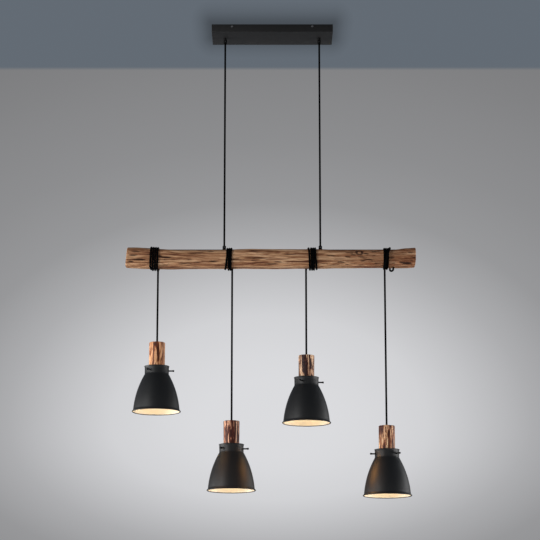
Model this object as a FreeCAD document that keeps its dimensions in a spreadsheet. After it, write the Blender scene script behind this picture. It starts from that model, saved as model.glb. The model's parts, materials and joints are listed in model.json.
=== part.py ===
import FreeCAD, Part
import math
import os

import Sketcher

# A hanging lamp for a pool table. A flat steel canopy on the ceiling carries a rustic wooden beam on two
# cords. Four textile cords come out of the beam's underside, are wound round it and hang down, each with
# a wooden sleeve, a lampholder and a bell-shaped steel shade held by three thumb screws.
# Frame: origin on the ceiling at the bracket's centre, +Z up, +X along the beam, -Y to the viewer.

doc = FreeCAD.newDocument("pool_table_lamp")
V = FreeCAD.Vector
HEADS = (1, 2, 3, 4)
SIDES = {"left": -1, "right": 1}

# ---------------------------------------------------------------- driving dimensions, in millimetres
DIMENSIONS = {
    # canopy and its bracket
    "canopy_length": 384,
    "canopy_width": 128,
    "canopy_height": 25,
    "canopy_sheet": 1,
    "canopy_corner": 1.5,
    "bracket_length": 290,
    "bracket_width": 40,
    "bracket_sheet": 2,
    "wing_width": 20,
    "wing_x": 127,
    "ear_drop": 12,
    "bolt_spacing": 240,
    "bolt_hole_radius": 2.75,
    "mains_hole_radius": 10,
    "side_screw_depth": 6,
    "side_screw_radius": 1.95,
    "side_screw_length": 7,
    "side_screw_head_radius": 3.5,
    "side_screw_head_height": 2.2,
    "terminal_length": 36,
    "terminal_width": 18,
    "terminal_height": 14,
    "terminal_x": 58,
    # cords and the grips that hold them
    "cord_radius": 3,
    "tail_radius": 2.9,
    "gap": 0.3,
    "suspension_x": 150,
    "grip_radius": 5.5,
    "grip_bore": 3.3,
    "grip_mouth": 4.4,
    "grip_flare": 2.8,
    "stud_radius": 4.9,
    "stud_hole": 5.1,
    "stud_length": 5,
    "nut_radius": 8,
    "nut_height": 3.5,
    "canopy_grip_length": 17.8,
    "beam_grip_length": 12.5,
    "lead_bend": 9,
    "lead_depth": 11,
    # beam
    "beam_left_x": -454,
    "beam_length": 900,
    "beam_size": 60,
    "beam_corner": 18,
    "beam_top_z": -717.5,
    "rail_left_x": -400,
    "rail_length": 790,
    "rail_width": 34,
    "rail_sheet": 3,
    "rail_recess": 4,
    "channel_left_x": -392,
    "channel_length": 776,
    "channel_width": 18,
    "channel_depth": 25,
    "rail_screw_radius": 1.7,
    "rail_screw_length": 16,
    "rail_screw_head": 3.5,
    "rail_screw_y": 13,
    "splice_length": 20,
    "splice_size": 10,
    "splice_drop": 7.5,
    "wire_radius": 1.2,
    "wire_pitch": 5,
    "entry_radius": 3.6,
    # lamp head, measured up from the plane of the shade's rim
    "rim_radius": 75,
    "bead_radius": 1.8,
    "shade_sheet": 0.9,
    "bell_bottom_radius": 71.3,
    "bell_bottom_z": 7,
    "bell_bottom_slope": 5,
    "bell_radius": 272,
    "bell_top_slope": 29,
    "neck_radius": 37.2,
    "neck_bottom_z": 117,
    "neck_top_z": 138.5,
    "lip_radius": 38.8,
    "shade_height": 141.5,
    "cup_radius": 35.6,
    "cup_sheet": 1.2,
    "cup_height": 22,
    "cup_hole_radius": 18.6,
    "thumb_screw_z": 127.5,
    "thumb_screw_radius": 1.95,
    "thumb_hole_radius": 2.3,
    "tapped_hole_radius": 2,
    "thumb_screw_start": 33.2,
    "thumb_screw_reach": 53.5,
    "thumb_head_radius": 2.7,
    "thumb_head_length": 4.5,
    "sleeve_radius": 24.5,
    "sleeve_bore": 20.6,
    "sleeve_cap": 5.7,
    "sleeve_cord_hole": 4,
    "holder_radius": 20,
    "holder_top_z": 172,
    "holder_dome_z": 184,
    "holder_tip_z": 196,
    "holder_tip_radius": 5.5,
    "holder_skirt_radius": 18.2,
    "holder_skirt_z": 112,
    "holder_cavity_radius": 14.2,
    "holder_cavity_z": 141.5,
    "cord_entry_depth": 5,
    "ring_radius": 25,
    "ring_bore": 18.4,
    "ring_height": 7,
    "contact_radius": 14,
    "contact_sheet": 0.5,
    "bulb_cap_radius": 13.2,
    "bulb_cap_z": 112,
    "bulb_cap_length": 24,
    "bulb_tip_radius": 3.5,
    "bulb_tip_z": 139,
    "bulb_radius": 30,
    "bulb_centre_z": 61,
    "bulb_neck_radius": 13,
    "bulb_shoulder_angle": 18,
}
# One column for each lamp head, from left to right.
BY_HEAD = {
    "drop_x": (-356, -125, 105, 350),
    "rim_z": (-1228.8, -1470.3, -1263.5, -1486.1),
    "sleeve_height": (74.7, 72.1, 69, 73.2),
    "screw_angle": (0, 110, 7, 75),
    "wrap_x": (-367.7, -134.6, 122.5, 354.2),
    "wrap_width": (27, 18.5, 25, 23),
    "entry_x": (-377, -146.5, 138, 377),
    "splice_x": (-377, -148, 144, 373),
}
RAIL_SCREW_X = (-390, -250, -60, 60, 250, 380)
SIDE_SCREWS = ((-1, -1), (1, -1), (-1, 1), (1, 1))

sheet = doc.addObject("Spreadsheet::Sheet", "Sizes")
rows = dict(DIMENSIONS)
for word, values in BY_HEAD.items():
    for head, value in zip(HEADS, values):
        rows[f"{word}_{head}"] = value
for row, (alias, value) in enumerate(rows.items(), 1):
    sheet.set(f"A{row}", alias)
    sheet.set(f"B{row}", str(value))
    sheet.setAlias(f"B{row}", alias)
doc.recompute()


def size(alias):
    """The number that the sheet holds under this alias."""
    return float(sheet.get(alias))


def bind(target, **expressions):
    """Tie each named property of an object to an expression in the sheet's aliases."""
    for name, expression in expressions.items():
        target.setExpression(name, in_sheet(expression))


def in_sheet(expression):
    """Write Sizes. before every alias of an expression."""
    text = str(expression)
    words = "".join(letter if letter.isalnum() or letter == "_" else " " for letter in text).split()
    for word in sorted(set(words), key=len, reverse=True):
        if word in rows:
            parts = text.split(word)
            text = parts[0]
            for before, after in zip(parts, parts[1:]):
                inside_longer = before[-1:].isalnum() or before[-1:] in "_." and before[-1:] != ""
                inside_longer = inside_longer or after[:1].isalnum() or after[:1] == "_"
                text += (word if inside_longer else "Sizes." + word) + after
    return text


def place(target, along_x="0", along_y="0", along_z="0"):
    """Put an object at a point whose three coordinates are expressions."""
    for axis, expression in zip("xyz", (along_x, along_y, along_z)):
        target.setExpression(f"Placement.Base.{axis}", in_sheet(expression))


# ---------------------------------------------------------------- bodies with sketches
def new_body(label):
    body = doc.addObject("PartDesign::Body", label)
    body.Label = label
    return body


def new_sketch(body, name, role, offset="0"):
    """A sketch on one of the body's own origin planes, moved along the plane's normal by offset."""
    sketch = body.newObject("Sketcher::SketchObject", name)
    plane = next(item for item in body.Origin.OriginFeatures if item.Role == role)
    sketch.AttachmentSupport = (plane, [""])
    sketch.MapMode = "FlatFace"
    sketch.setExpression("AttachmentOffset.Base.z", in_sheet(offset))
    return sketch


def pin_point(sketch, geometry, end, across, up):
    """Hold one end of a piece of sketch geometry at two expressions, measured from the origin."""
    point = sketch.getPoint(geometry, end)
    for kind, start, expression in (("DistanceX", point.x, across), ("DistanceY", point.y, up)):
        index = sketch.addConstraint(Sketcher.Constraint(kind, -1, 1, geometry, end, start))
        sketch.setExpression(f"Constraints[{index}]", in_sheet(expression))


def outline(body, name, role, corners, offset="0"):
    """A closed sketch of straight lines through corners, each a pair of expressions."""
    sketch = new_sketch(body, name, role, offset)
    count = len(corners)
    turns = [2 * math.pi * index / count for index in range(count)]
    start = [V(10 * math.cos(turn), 10 * math.sin(turn), 0) for turn in turns]
    for index in range(count):
        sketch.addGeometry(Part.LineSegment(start[index], start[(index + 1) % count]), False)
    for index in range(count):
        sketch.addConstraint(Sketcher.Constraint("Coincident", index, 2, (index + 1) % count, 1))
    for index, (across, up) in enumerate(corners):
        pin_point(sketch, index, 1, across, up)
    return sketch


def rectangle(body, name, role, half_x, half_y, offset="0"):
    signs = (("-", "-"), ("", "-"), ("", ""), ("-", ""))
    corners = [(f"{sx}({half_x})", f"{sy}({half_y})") for sx, sy in signs]
    return outline(body, name, role, corners, offset)


def circles(body, name, role, centres, radius, offset="0"):
    """A sketch of equal circles; each centre is a pair of expressions."""
    sketch = new_sketch(body, name, role, offset)
    for index, (across, up) in enumerate(centres):
        sketch.addGeometry(Part.Circle(V(9 * index, 1, 0), V(0, 0, 1), 2), False)
        pin_point(sketch, index, 3, across, up)
        limit = sketch.addConstraint(Sketcher.Constraint("Radius", index, 2))
        sketch.setExpression(f"Constraints[{limit}]", in_sheet(radius))
    return sketch


def pad(body, sketch, length):
    feature = body.newObject("PartDesign::Pad", sketch.Name + "_pad")
    feature.Profile = sketch
    bind(feature, Length=length)
    return feature


def pocket(body, sketch, depth=None):
    """Cut a sketch's shape: to a depth against the sketch's normal, or right through both ways."""
    feature = body.newObject("PartDesign::Pocket", sketch.Name + "_cut")
    feature.Profile = sketch
    if depth is None:
        feature.SideType = "Symmetric"
        feature.Type = "ThroughAll"
    else:
        bind(feature, Length=depth)
    return feature


def revolve(body, sketch):
    feature = body.newObject("PartDesign::Revolution", sketch.Name + "_turned")
    feature.Profile = sketch
    feature.ReferenceAxis = (sketch, ["V_Axis"])
    feature.Angle = 360
    return feature


def turned_body(label, corners):
    """A body turned about Z from an outline of (radius, height) pairs."""
    body = new_body(label)
    revolve(body, outline(body, label + "_section", "XZ_Plane", corners))
    return body


def round_edges(body, name, radius, wanted):
    """Fillet those edges of the body so far that the test function wants."""
    doc.recompute()
    base = body.Tip
    chosen = [f"Edge{index}" for index, edge in enumerate(base.Shape.Edges, 1) if wanted(edge)]
    fillet = body.newObject("PartDesign::Fillet", name)
    fillet.Base = (base, chosen)
    bind(fillet, Radius=radius)
    return fillet


def runs_along(edge, direction):
    if len(edge.Vertexes) < 2:
        return False
    span = edge.Vertexes[1].Point - edge.Vertexes[0].Point
    return span.Length > 1 and abs(abs(span.normalize().dot(direction)) - 1) < 1e-6


# ---------------------------------------------------------------- primitives and booleans
def named(kind, name):
    return doc.addObject(kind, name)


def cylinder(name, radius, height, at=("0", "0", "0"), turn=None):
    """A cylinder standing on the point at, along +Z or turned by (axis, degrees)."""
    made = named("Part::Cylinder", name)
    bind(made, Radius=radius, Height=height)
    if turn:
        made.Placement = FreeCAD.Placement(V(), FreeCAD.Rotation(turn[0], turn[1]))
    place(made, *at)
    return made


def cone(name, bottom, top, height, at=("0", "0", "0"), turn=None):
    made = named("Part::Cone", name)
    bind(made, Radius1=bottom, Radius2=top, Height=height)
    if turn:
        made.Placement = FreeCAD.Placement(V(), FreeCAD.Rotation(turn[0], turn[1]))
    place(made, *at)
    return made


def ball(name, radius, at):
    made = named("Part::Sphere", name)
    bind(made, Radius=radius)
    place(made, *at)
    return made


def block(name, length, width, height, at):
    """A box centred on at in X and Y and standing on it in Z."""
    made = named("Part::Box", name)
    bind(made, Length=length, Width=width, Height=height)
    place(made, f"({at[0]}) - ({length}) / 2", f"({at[1]}) - ({width}) / 2", at[2])
    return made


def fuse(name, shapes):
    made = named("Part::MultiFuse", name)
    made.Shapes = shapes
    return made


def cut(name, base, tool):
    made = named("Part::Cut", name)
    made.Base = base
    made.Tool = tool
    return made


def group(label, shapes):
    """Several separate solids that share one node."""
    made = named("Part::Compound", label)
    made.Label = label
    made.Links = shapes
    return made


def label_as(made, label):
    made.Label = label
    return made


ALONG_X = (V(0, 1, 0), 90)
TO_BACK = (V(1, 0, 0), -90)
TO_FRONT = (V(1, 0, 0), 90)


# ---------------------------------------------------------------- canopy
def ceiling_bracket():
    """Steel strip against the ceiling with two cross wings whose folded ears take the side screws."""
    body = new_body("ceiling_bracket")
    place(body, along_z="-bracket_sheet")
    half_long, half_wide = "bracket_length / 2", "bracket_width / 2"
    tip = "canopy_width / 2 - canopy_sheet - gap"
    outer, inner = "wing_x + wing_width / 2", "wing_x - wing_width / 2"
    quarter = [(half_long, half_wide), (outer, half_wide), (outer, tip), (inner, tip), (inner, half_wide)]
    corners = [(x, y) for x, y in quarter]
    corners += [(f"-({x})", y) for x, y in reversed(quarter)]
    corners += [(f"-({x})", f"-({y})") for x, y in quarter]
    corners += [(x, f"-({y})") for x, y in reversed(quarter)]
    pad(body, outline(body, "bracket_plate", "XY_Plane", corners), "bracket_sheet")
    for side_x, side_y in SIDE_SCREWS:
        name = f"ear_{'right' if side_x > 0 else 'left'}_{'back' if side_y > 0 else 'front'}"
        x_pair = [f"{side_x} * ({inner})", f"{side_x} * ({outer})"]
        y_pair = [f"{side_y} * ({tip} - bracket_sheet)", f"{side_y} * ({tip})"]
        ear = outline(body, name, "XY_Plane", [(x_pair[0], y_pair[0]), (x_pair[1], y_pair[0]),
                                               (x_pair[1], y_pair[1]), (x_pair[0], y_pair[1])])
        pad(body, ear, "ear_drop").Reversed = True
    bolts = [("bolt_spacing / 2", "0"), ("-bolt_spacing / 2", "0")]
    pocket(body, circles(body, "bolt_holes", "XY_Plane", bolts, "bolt_hole_radius"))
    pocket(body, circles(body, "mains_hole", "XY_Plane", [("0", "0")], "mains_hole_radius"))
    tapped = [(f"{side} * wing_x", "bracket_sheet - side_screw_depth") for side in (-1, 1)]
    pocket(body, circles(body, "ear_holes", "XZ_Plane", tapped, "tapped_hole_radius"))
    return body


def canopy_cover():
    """Shallow steel tray, open towards the ceiling, with two grip holes and four screw holes."""
    body = new_body("canopy_cover")
    place(body, along_z="-canopy_height")
    half_long, half_wide = "canopy_length / 2", "canopy_width / 2"
    pad(body, rectangle(body, "cover_outside", "XY_Plane", half_long, half_wide), "canopy_height")
    round_edges(body, "cover_corners", "canopy_corner", lambda edge: runs_along(edge, V(0, 0, 1)))
    inside = rectangle(body, "cover_inside", "XY_Plane", f"{half_long} - canopy_sheet",
                       f"{half_wide} - canopy_sheet", "canopy_height")
    pocket(body, inside, "canopy_height - canopy_sheet")
    grips = [("suspension_x", "0"), ("-suspension_x", "0")]
    pocket(body, circles(body, "grip_holes", "XY_Plane", grips, "stud_hole"))
    screws = [(f"{side} * wing_x", "canopy_height - side_screw_depth") for side in (-1, 1)]
    pocket(body, circles(body, "screw_holes", "XZ_Plane", screws, "thumb_hole_radius"))
    return body


def canopy_side_screws():
    """Four pan-head screws through the cover's long walls into the bracket's ears."""
    screws = []
    for number, (side_x, side_y) in enumerate(SIDE_SCREWS, 1):
        wall = f"{side_y} * canopy_width / 2"
        at = (f"{side_x} * wing_x", wall, "-side_screw_depth")
        inwards, outwards = (TO_BACK, TO_FRONT) if side_y < 0 else (TO_FRONT, TO_BACK)
        shank = cylinder(f"side_shank_{number}", "side_screw_radius", "side_screw_length", at, inwards)
        head = cone(f"side_head_{number}", "side_screw_head_radius", "side_screw_head_radius * 0.7",
                    "side_screw_head_height", at, outwards)
        screws.append(fuse(f"side_screw_{number}", [shank, head]))
    return group("canopy_side_screws", screws)


def mains_terminal_block():
    """Screw terminal block under the bracket, where the mains meets the lamp's own leads."""
    return label_as(block("mains_terminal_block", "terminal_length", "terminal_width", "terminal_height",
                          ("terminal_x", "0", "-bracket_sheet - terminal_height")), "mains_terminal_block")


def cord_grip(name, x, wall_z, length, downwards):
    """A turned grip: threaded stud through the sheet, round body outside it, bore with a flared mouth."""
    body = new_body(name)
    corners = [
        ("grip_bore", "-stud_length"), ("stud_radius", "-stud_length"), ("stud_radius", "0"),
        ("grip_radius", "0"), ("grip_radius", f"{length} - 0.8"), ("grip_radius - 0.4", length),
        ("grip_mouth", length), ("grip_bore", f"{length} - grip_flare"),
    ]
    revolve(body, outline(body, name + "_section", "XZ_Plane", corners))
    if downwards:
        body.Placement = FreeCAD.Placement(V(), FreeCAD.Rotation(V(1, 0, 0), 180))
    place(body, x, "0", wall_z)
    return body


def hex_nut(name, x, z):
    """A thin hexagon nut standing on z with its axis along Z."""
    body = new_body(name)
    sides = 6
    corners = [(f"nut_radius * cos({60 * side})", f"nut_radius * sin({60 * side})")
               for side in range(sides)]
    pad(body, outline(body, name + "_hexagon", "XY_Plane", corners), "nut_height")
    pocket(body, circles(body, name + "_thread", "XY_Plane", [("0", "0")], "stud_hole"))
    place(body, x, "0", z)
    return body


def canopy_grips_and_nuts():
    grips, nuts = [], []
    for side, sign in SIDES.items():
        x = f"{sign} * suspension_x"
        grips.append(cord_grip(f"canopy_grip_{side}", x, "-canopy_height", "canopy_grip_length", True))
        nuts.append(hex_nut(f"canopy_nut_{side}", x, "-canopy_height + canopy_sheet"))
    group("canopy_cord_grips", grips)
    group("canopy_grip_nuts", nuts)


def canopy_leads():
    """The cords' upper ends: up through each grip, round a bend and along to the terminal block."""
    leads = []
    bottom = "-canopy_height - canopy_grip_length + grip_flare + cord_radius + gap"
    bend_z = "-lead_depth - lead_bend"
    for side, sign in SIDES.items():
        x = f"{sign} * suspension_x"
        rise = cylinder(f"lead_rise_{side}", "cord_radius", f"{bend_z} - ({bottom})", (x, "0", bottom))
        bend = named("Part::Torus", f"lead_bend_{side}")
        bind(bend, Radius1="lead_bend", Radius2="cord_radius")
        bend.Angle3 = 90
        facing = FreeCAD.Rotation(V(1, 0, 0), 90)
        if sign < 0:
            facing = FreeCAD.Rotation(V(0, 0, 1), 180).multiply(facing)
        bend.Placement = FreeCAD.Placement(V(), facing)
        place(bend, f"{sign} * (suspension_x - lead_bend)", "0", bend_z)
        block_face = f"terminal_x + {sign} * terminal_length / 2"
        start, end = block_face, "suspension_x - lead_bend"
        if sign < 0:
            start, end = "-(suspension_x - lead_bend)", block_face
        run = cylinder(f"lead_run_{side}", "cord_radius", f"({end}) - ({start})",
                       (start, "0", "-lead_depth"), ALONG_X)
        leads.append(fuse(f"canopy_lead_{side}", [rise, bend, run]))
    return group("canopy_leads", leads)


# ---------------------------------------------------------------- suspension cords
def suspension_cords():
    """Straight cords pulled tight by the beam; each end is a dome about its pivot inside a grip."""
    top = "-canopy_height - canopy_grip_length + grip_flare"
    low = f"{RAIL_TOP} + beam_grip_length - grip_flare"
    for side, sign in SIDES.items():
        x = f"{sign} * suspension_x"
        tube = cylinder(f"suspension_tube_{side}", "cord_radius", f"({top}) - ({low})", (x, "0", low))
        ends = [ball(f"suspension_end_{side}_{word}", "cord_radius", (x, "0", z))
                for word, z in (("top", top), ("low", low))]
        label_as(fuse(f"suspension_cord_{side}", [tube, *ends]), f"suspension_cord_{side}")


# ---------------------------------------------------------------- beam
RAIL_TOP = "beam_top_z - rail_recess + rail_sheet"
BEAM_BOTTOM = "beam_top_z - beam_size"
SPLICE_TOP = "beam_top_z - rail_recess - splice_drop"


def wood_beam():
    """Round-cornered beam with a recess for the rail, a wiring channel and four cord holes."""
    body = new_body("wood_beam")
    place(body, along_z=f"{BEAM_BOTTOM}")
    half = "beam_size / 2"
    square = [(f"-{half}", "0"), (half, "0"), (half, "beam_size"), (f"-{half}", "beam_size")]
    pad(body, outline(body, "beam_section", "YZ_Plane", square, "beam_left_x"), "beam_length")
    round_edges(body, "beam_corners", "beam_corner", lambda edge: runs_along(edge, V(1, 0, 0)))
    for name, left, length, width, top, depth in (
        ("rail_recess", "rail_left_x - gap", "rail_length + 2 * gap", "rail_width + 2 * gap",
         "beam_size", "rail_recess"),
        ("wiring_channel", "channel_left_x", "channel_length", "channel_width",
         "beam_size - rail_recess", "channel_depth"),
    ):
        right, front, back = f"{left} + {length}", f"-({width}) / 2", f"({width}) / 2"
        corners = [(left, front), (right, front), (right, back), (left, back)]
        pocket(body, outline(body, name + "_outline", "XY_Plane", corners, top), depth)
    entries = [(f"entry_x_{head}", "0") for head in HEADS]
    pocket(body, circles(body, "cord_holes", "XY_Plane", entries, "entry_radius"))
    pilots = [(str(x), f"{sign} * rail_screw_y") for x in RAIL_SCREW_X for sign in (-1, 1)]
    pocket(body, circles(body, "pilot_holes", "XY_Plane", pilots, "rail_screw_radius + 0.05",
                         "beam_size - rail_recess"), "rail_screw_length")
    return body


def beam_top_rail():
    """Flat steel rail let into the beam's top; it closes the channel and carries the two lower grips."""
    body = new_body("beam_top_rail")
    place(body, along_z="beam_top_z - rail_recess")
    left, right = "rail_left_x", "rail_left_x + rail_length"
    front, back = "-rail_width / 2", "rail_width / 2"
    corners = [(left, front), (right, front), (right, back), (left, back)]
    pad(body, outline(body, "rail_outline", "XY_Plane", corners), "rail_sheet")
    grips = [("suspension_x", "0"), ("-suspension_x", "0")]
    pocket(body, circles(body, "rail_grip_holes", "XY_Plane", grips, "stud_hole"))
    screws = [(str(x), f"{sign} * rail_screw_y") for x in RAIL_SCREW_X for sign in (-1, 1)]
    pocket(body, circles(body, "rail_screw_holes", "XY_Plane", screws, "rail_screw_head + 0.05"))
    return body


def rail_screws():
    """Wood screws whose flat heads fill the rail's holes flush with its top."""
    screws = []
    for column, x in enumerate(RAIL_SCREW_X, 1):
        for sign in (-1, 1):
            name = f"rail_screw_{column}_{'back' if sign > 0 else 'front'}"
            at = (str(x), f"{sign} * rail_screw_y")
            floor = "beam_top_z - rail_recess"
            shank = cylinder(name + "_shank", "rail_screw_radius", "rail_screw_length",
                             (*at, f"{floor} - rail_screw_length"))
            head = cylinder(name + "_head", "rail_screw_head", "rail_sheet", (*at, floor))
            screws.append(fuse(name, [shank, head]))
    return group("rail_screws", screws)


def beam_grips_and_nuts():
    grips, nuts = [], []
    for side, sign in SIDES.items():
        x = f"{sign} * suspension_x"
        grips.append(cord_grip(f"beam_grip_{side}", x, RAIL_TOP, "beam_grip_length", False))
        nuts.append(hex_nut(f"beam_nut_{side}", x, "beam_top_z - rail_recess - nut_height"))
    group("beam_cord_grips", grips)
    group("beam_grip_nuts", nuts)


def beam_wiring():
    """One splice connector over each cord hole, wires between them and the two cords' lower ends."""
    splices = [block(f"splice_{head}", "splice_length", "splice_size", "splice_size",
                     (f"splice_x_{head}", "0", f"{SPLICE_TOP} - splice_size")) for head in HEADS]
    group("splice_connectors", splices)
    leads = []
    for head in HEADS[:-1]:
        start = f"splice_x_{head} + splice_length / 2"
        end = f"splice_x_{head + 1} - splice_length / 2"
        for sign in (-1, 1):
            leads.append(cylinder(f"wire_{head}_{'back' if sign > 0 else 'front'}", "wire_radius",
                                  f"{end} - ({start})",
                                  (start, f"{sign} * wire_pitch / 2", f"{SPLICE_TOP} - splice_size / 2"),
                                  ALONG_X))
    top = f"{RAIL_TOP} + beam_grip_length - grip_flare - cord_radius - gap"
    for side, sign in SIDES.items():
        leads.append(cylinder(f"beam_tail_{side}", "cord_radius", f"({top}) - ({SPLICE_TOP})",
                              (f"{sign} * suspension_x", "0", SPLICE_TOP)))
    group("beam_leads", leads)


def rounded_bar(name, x, width, half, corner):
    """A bar along X with a rounded square section about the beam's axis."""
    bar = block(name + "_bar", width, f"2 * ({half})", f"2 * ({half})",
                (x, "0", f"beam_top_z - beam_size / 2 - ({half})"))
    doc.recompute()
    bar_edges = [index for index, edge in enumerate(bar.Shape.Edges, 1) if runs_along(edge, V(1, 0, 0))]
    rounded = named("Part::Fillet", name)
    rounded.Base = bar
    rounded.Edges = [(index, corner, corner) for index in bar_edges]
    return rounded


def cord_wrap(head):
    """The outer shape of the turns round the beam, with the cord's way up into its hole."""
    x, width = f"wrap_x_{head}", f"wrap_width_{head}"
    inner = "beam_size / 2 + gap"
    outer = f"{inner} + 2 * cord_radius"
    inner_corner = size("beam_corner") + size("gap")
    outer_corner = inner_corner + 2 * size("cord_radius")
    outside = rounded_bar(f"wrap_outside_{head}", x, width, outer, outer_corner)
    inside = rounded_bar(f"wrap_inside_{head}", x, width, inner, inner_corner)
    turns = cut(f"wrap_turns_{head}", outside, inside)
    entry = f"entry_x_{head}"
    under = f"{BEAM_BOTTOM} - gap - cord_radius"
    rise = cylinder(f"wrap_rise_{head}", "tail_radius", f"{SPLICE_TOP} - splice_size - ({under})",
                    (entry, "0", under))
    elbow = ball(f"wrap_elbow_{head}", "tail_radius", (entry, "0", under))
    edge = f"wrap_x_{head}"
    start, end = (entry, edge) if size(entry) < size(edge) else (edge, entry)
    along = cylinder(f"wrap_along_{head}", "tail_radius", f"{end} - {start}", (start, "0", under), ALONG_X)
    label_as(fuse(f"cord_wrap_{head}", [turns, rise, elbow, along]), f"cord_wrap_{head}")


# ---------------------------------------------------------------- pendants and lamp heads
def pendant_cord(head):
    """Straight drop from a dome just under the wrap into the lampholder's mouth."""
    x = f"drop_x_{head}"
    pivot = f"{BEAM_BOTTOM} - 2 * gap - 3 * cord_radius"
    low = f"rim_z_{head} + holder_tip_z - cord_entry_depth + gap"
    tube = cylinder(f"drop_tube_{head}", "cord_radius", f"({pivot}) - ({low})", (x, "0", low))
    end = ball(f"drop_end_{head}", "cord_radius", (x, "0", pivot))
    label_as(fuse(f"cord_drop_{head}", [tube, end]), f"cord_drop_{head}")


def put_in_head(made, head, height="0"):
    place(made, f"drop_x_{head}", "0", f"rim_z_{head} + {height}")


def wood_sleeve(head):
    top = f"sleeve_height_{head}"
    body = turned_body(f"wood_sleeve_{head}", [
        ("sleeve_bore", "0"), ("sleeve_radius", "0"), ("sleeve_radius", top),
        ("sleeve_cord_hole", top), ("sleeve_cord_hole", f"{top} - sleeve_cap"),
        ("sleeve_bore", f"{top} - sleeve_cap"),
    ])
    put_in_head(body, head, "shade_height")


def lampholder(head):
    """Screw lampholder: skirt below the cup's plate, barrel and domed top inside the sleeve."""
    bore = "cord_radius + gap"
    mouth = "holder_tip_z - cord_entry_depth"
    body = turned_body(f"lampholder_{head}", [
        ("0", "holder_cavity_z"), ("holder_cavity_radius", "holder_cavity_z"),
        ("holder_cavity_radius", "holder_skirt_z"), ("holder_skirt_radius", "holder_skirt_z"),
        ("holder_skirt_radius", "shade_height"), ("holder_radius", "shade_height"),
        ("holder_radius", "holder_top_z"), ("holder_tip_radius + 4", "holder_dome_z"),
        ("holder_tip_radius", "holder_dome_z"), ("holder_tip_radius", "holder_tip_z"),
        (bore, "holder_tip_z"), (bore, mouth), ("0", mouth),
    ])
    put_in_head(body, head)


def holder_contacts(head):
    """The lampholder's brass screw shell and its centre contact."""
    low, high = "holder_skirt_z + 1.5", "bulb_cap_z + bulb_cap_length + 1"
    shell = turned_body(f"contact_shell_{head}", [
        ("contact_radius - contact_sheet", low), ("contact_radius", low),
        ("contact_radius", high), ("contact_radius - contact_sheet", high),
    ])
    put_in_head(shell, head)
    centre = cylinder(f"contact_centre_{head}", "bulb_tip_radius", "holder_cavity_z - bulb_tip_z",
                      (f"drop_x_{head}", "0", f"rim_z_{head} + bulb_tip_z"))
    group(f"holder_contacts_{head}", [shell, centre])


def holder_ring(head):
    """Threaded ring that clamps the lampholder to the cup's plate from below."""
    under = "shade_height - cup_sheet"
    body = turned_body(f"holder_ring_{head}", [
        ("ring_bore", f"{under} - ring_height"), ("ring_radius", f"{under} - ring_height"),
        ("ring_radius", under), ("ring_bore", under),
    ])
    put_in_head(body, head)


def gallery_cup(head):
    """Steel cup inside the shade's neck: its plate carries the sleeve, its wall is tapped three times."""
    wall = "cup_radius - cup_sheet"
    under, low = "shade_height - cup_sheet", "shade_height - cup_height"
    body = turned_body(f"gallery_cup_{head}", [
        ("cup_hole_radius", under), (wall, under), (wall, low), ("cup_radius", low),
        ("cup_radius", "shade_height"), ("cup_hole_radius", "shade_height"),
    ])
    three_holes(body, f"cup_holes_{head}", "tapped_hole_radius")
    put_in_head(body, head)
    bind(body, **{"Placement.Rotation.Angle": f"screw_angle_{head}"})


def three_holes(body, name, radius):
    """Three equal radial holes round Z at the thumb screws' height, the first along local +X."""
    hole = circles(body, name, "YZ_Plane", [("0", "thumb_screw_z")], radius)
    first = body.newObject("PartDesign::Pocket", name + "_first")
    first.Profile = hole
    first.Reversed = True
    first.Type = "ThroughAll"
    pattern = body.newObject("PartDesign::PolarPattern", name + "_pattern")
    pattern.Originals = [first]
    z_axis = next(item for item in body.Origin.OriginFeatures if item.Role == "Z_Axis")
    pattern.Axis = (z_axis, [""])
    pattern.Angle = 360
    pattern.Occurrences = 3
    body.Tip = pattern


def shade(head):
    """Spun steel bell: rolled rim, a curved flank that leans in more as it rises, neck and flared lip."""
    body = new_body(f"shade_{head}")
    bead = circles(body, f"rim_bead_{head}", "XZ_Plane",
                   [("rim_radius - bead_radius", "bead_radius")], "bead_radius")
    revolve(body, bead)
    revolve(body, bell_section(body, f"bell_section_{head}"))
    three_holes(body, f"neck_holes_{head}", "thumb_hole_radius")
    put_in_head(body, head)
    bind(body, **{"Placement.Rotation.Angle": f"screw_angle_{head}"})


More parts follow.
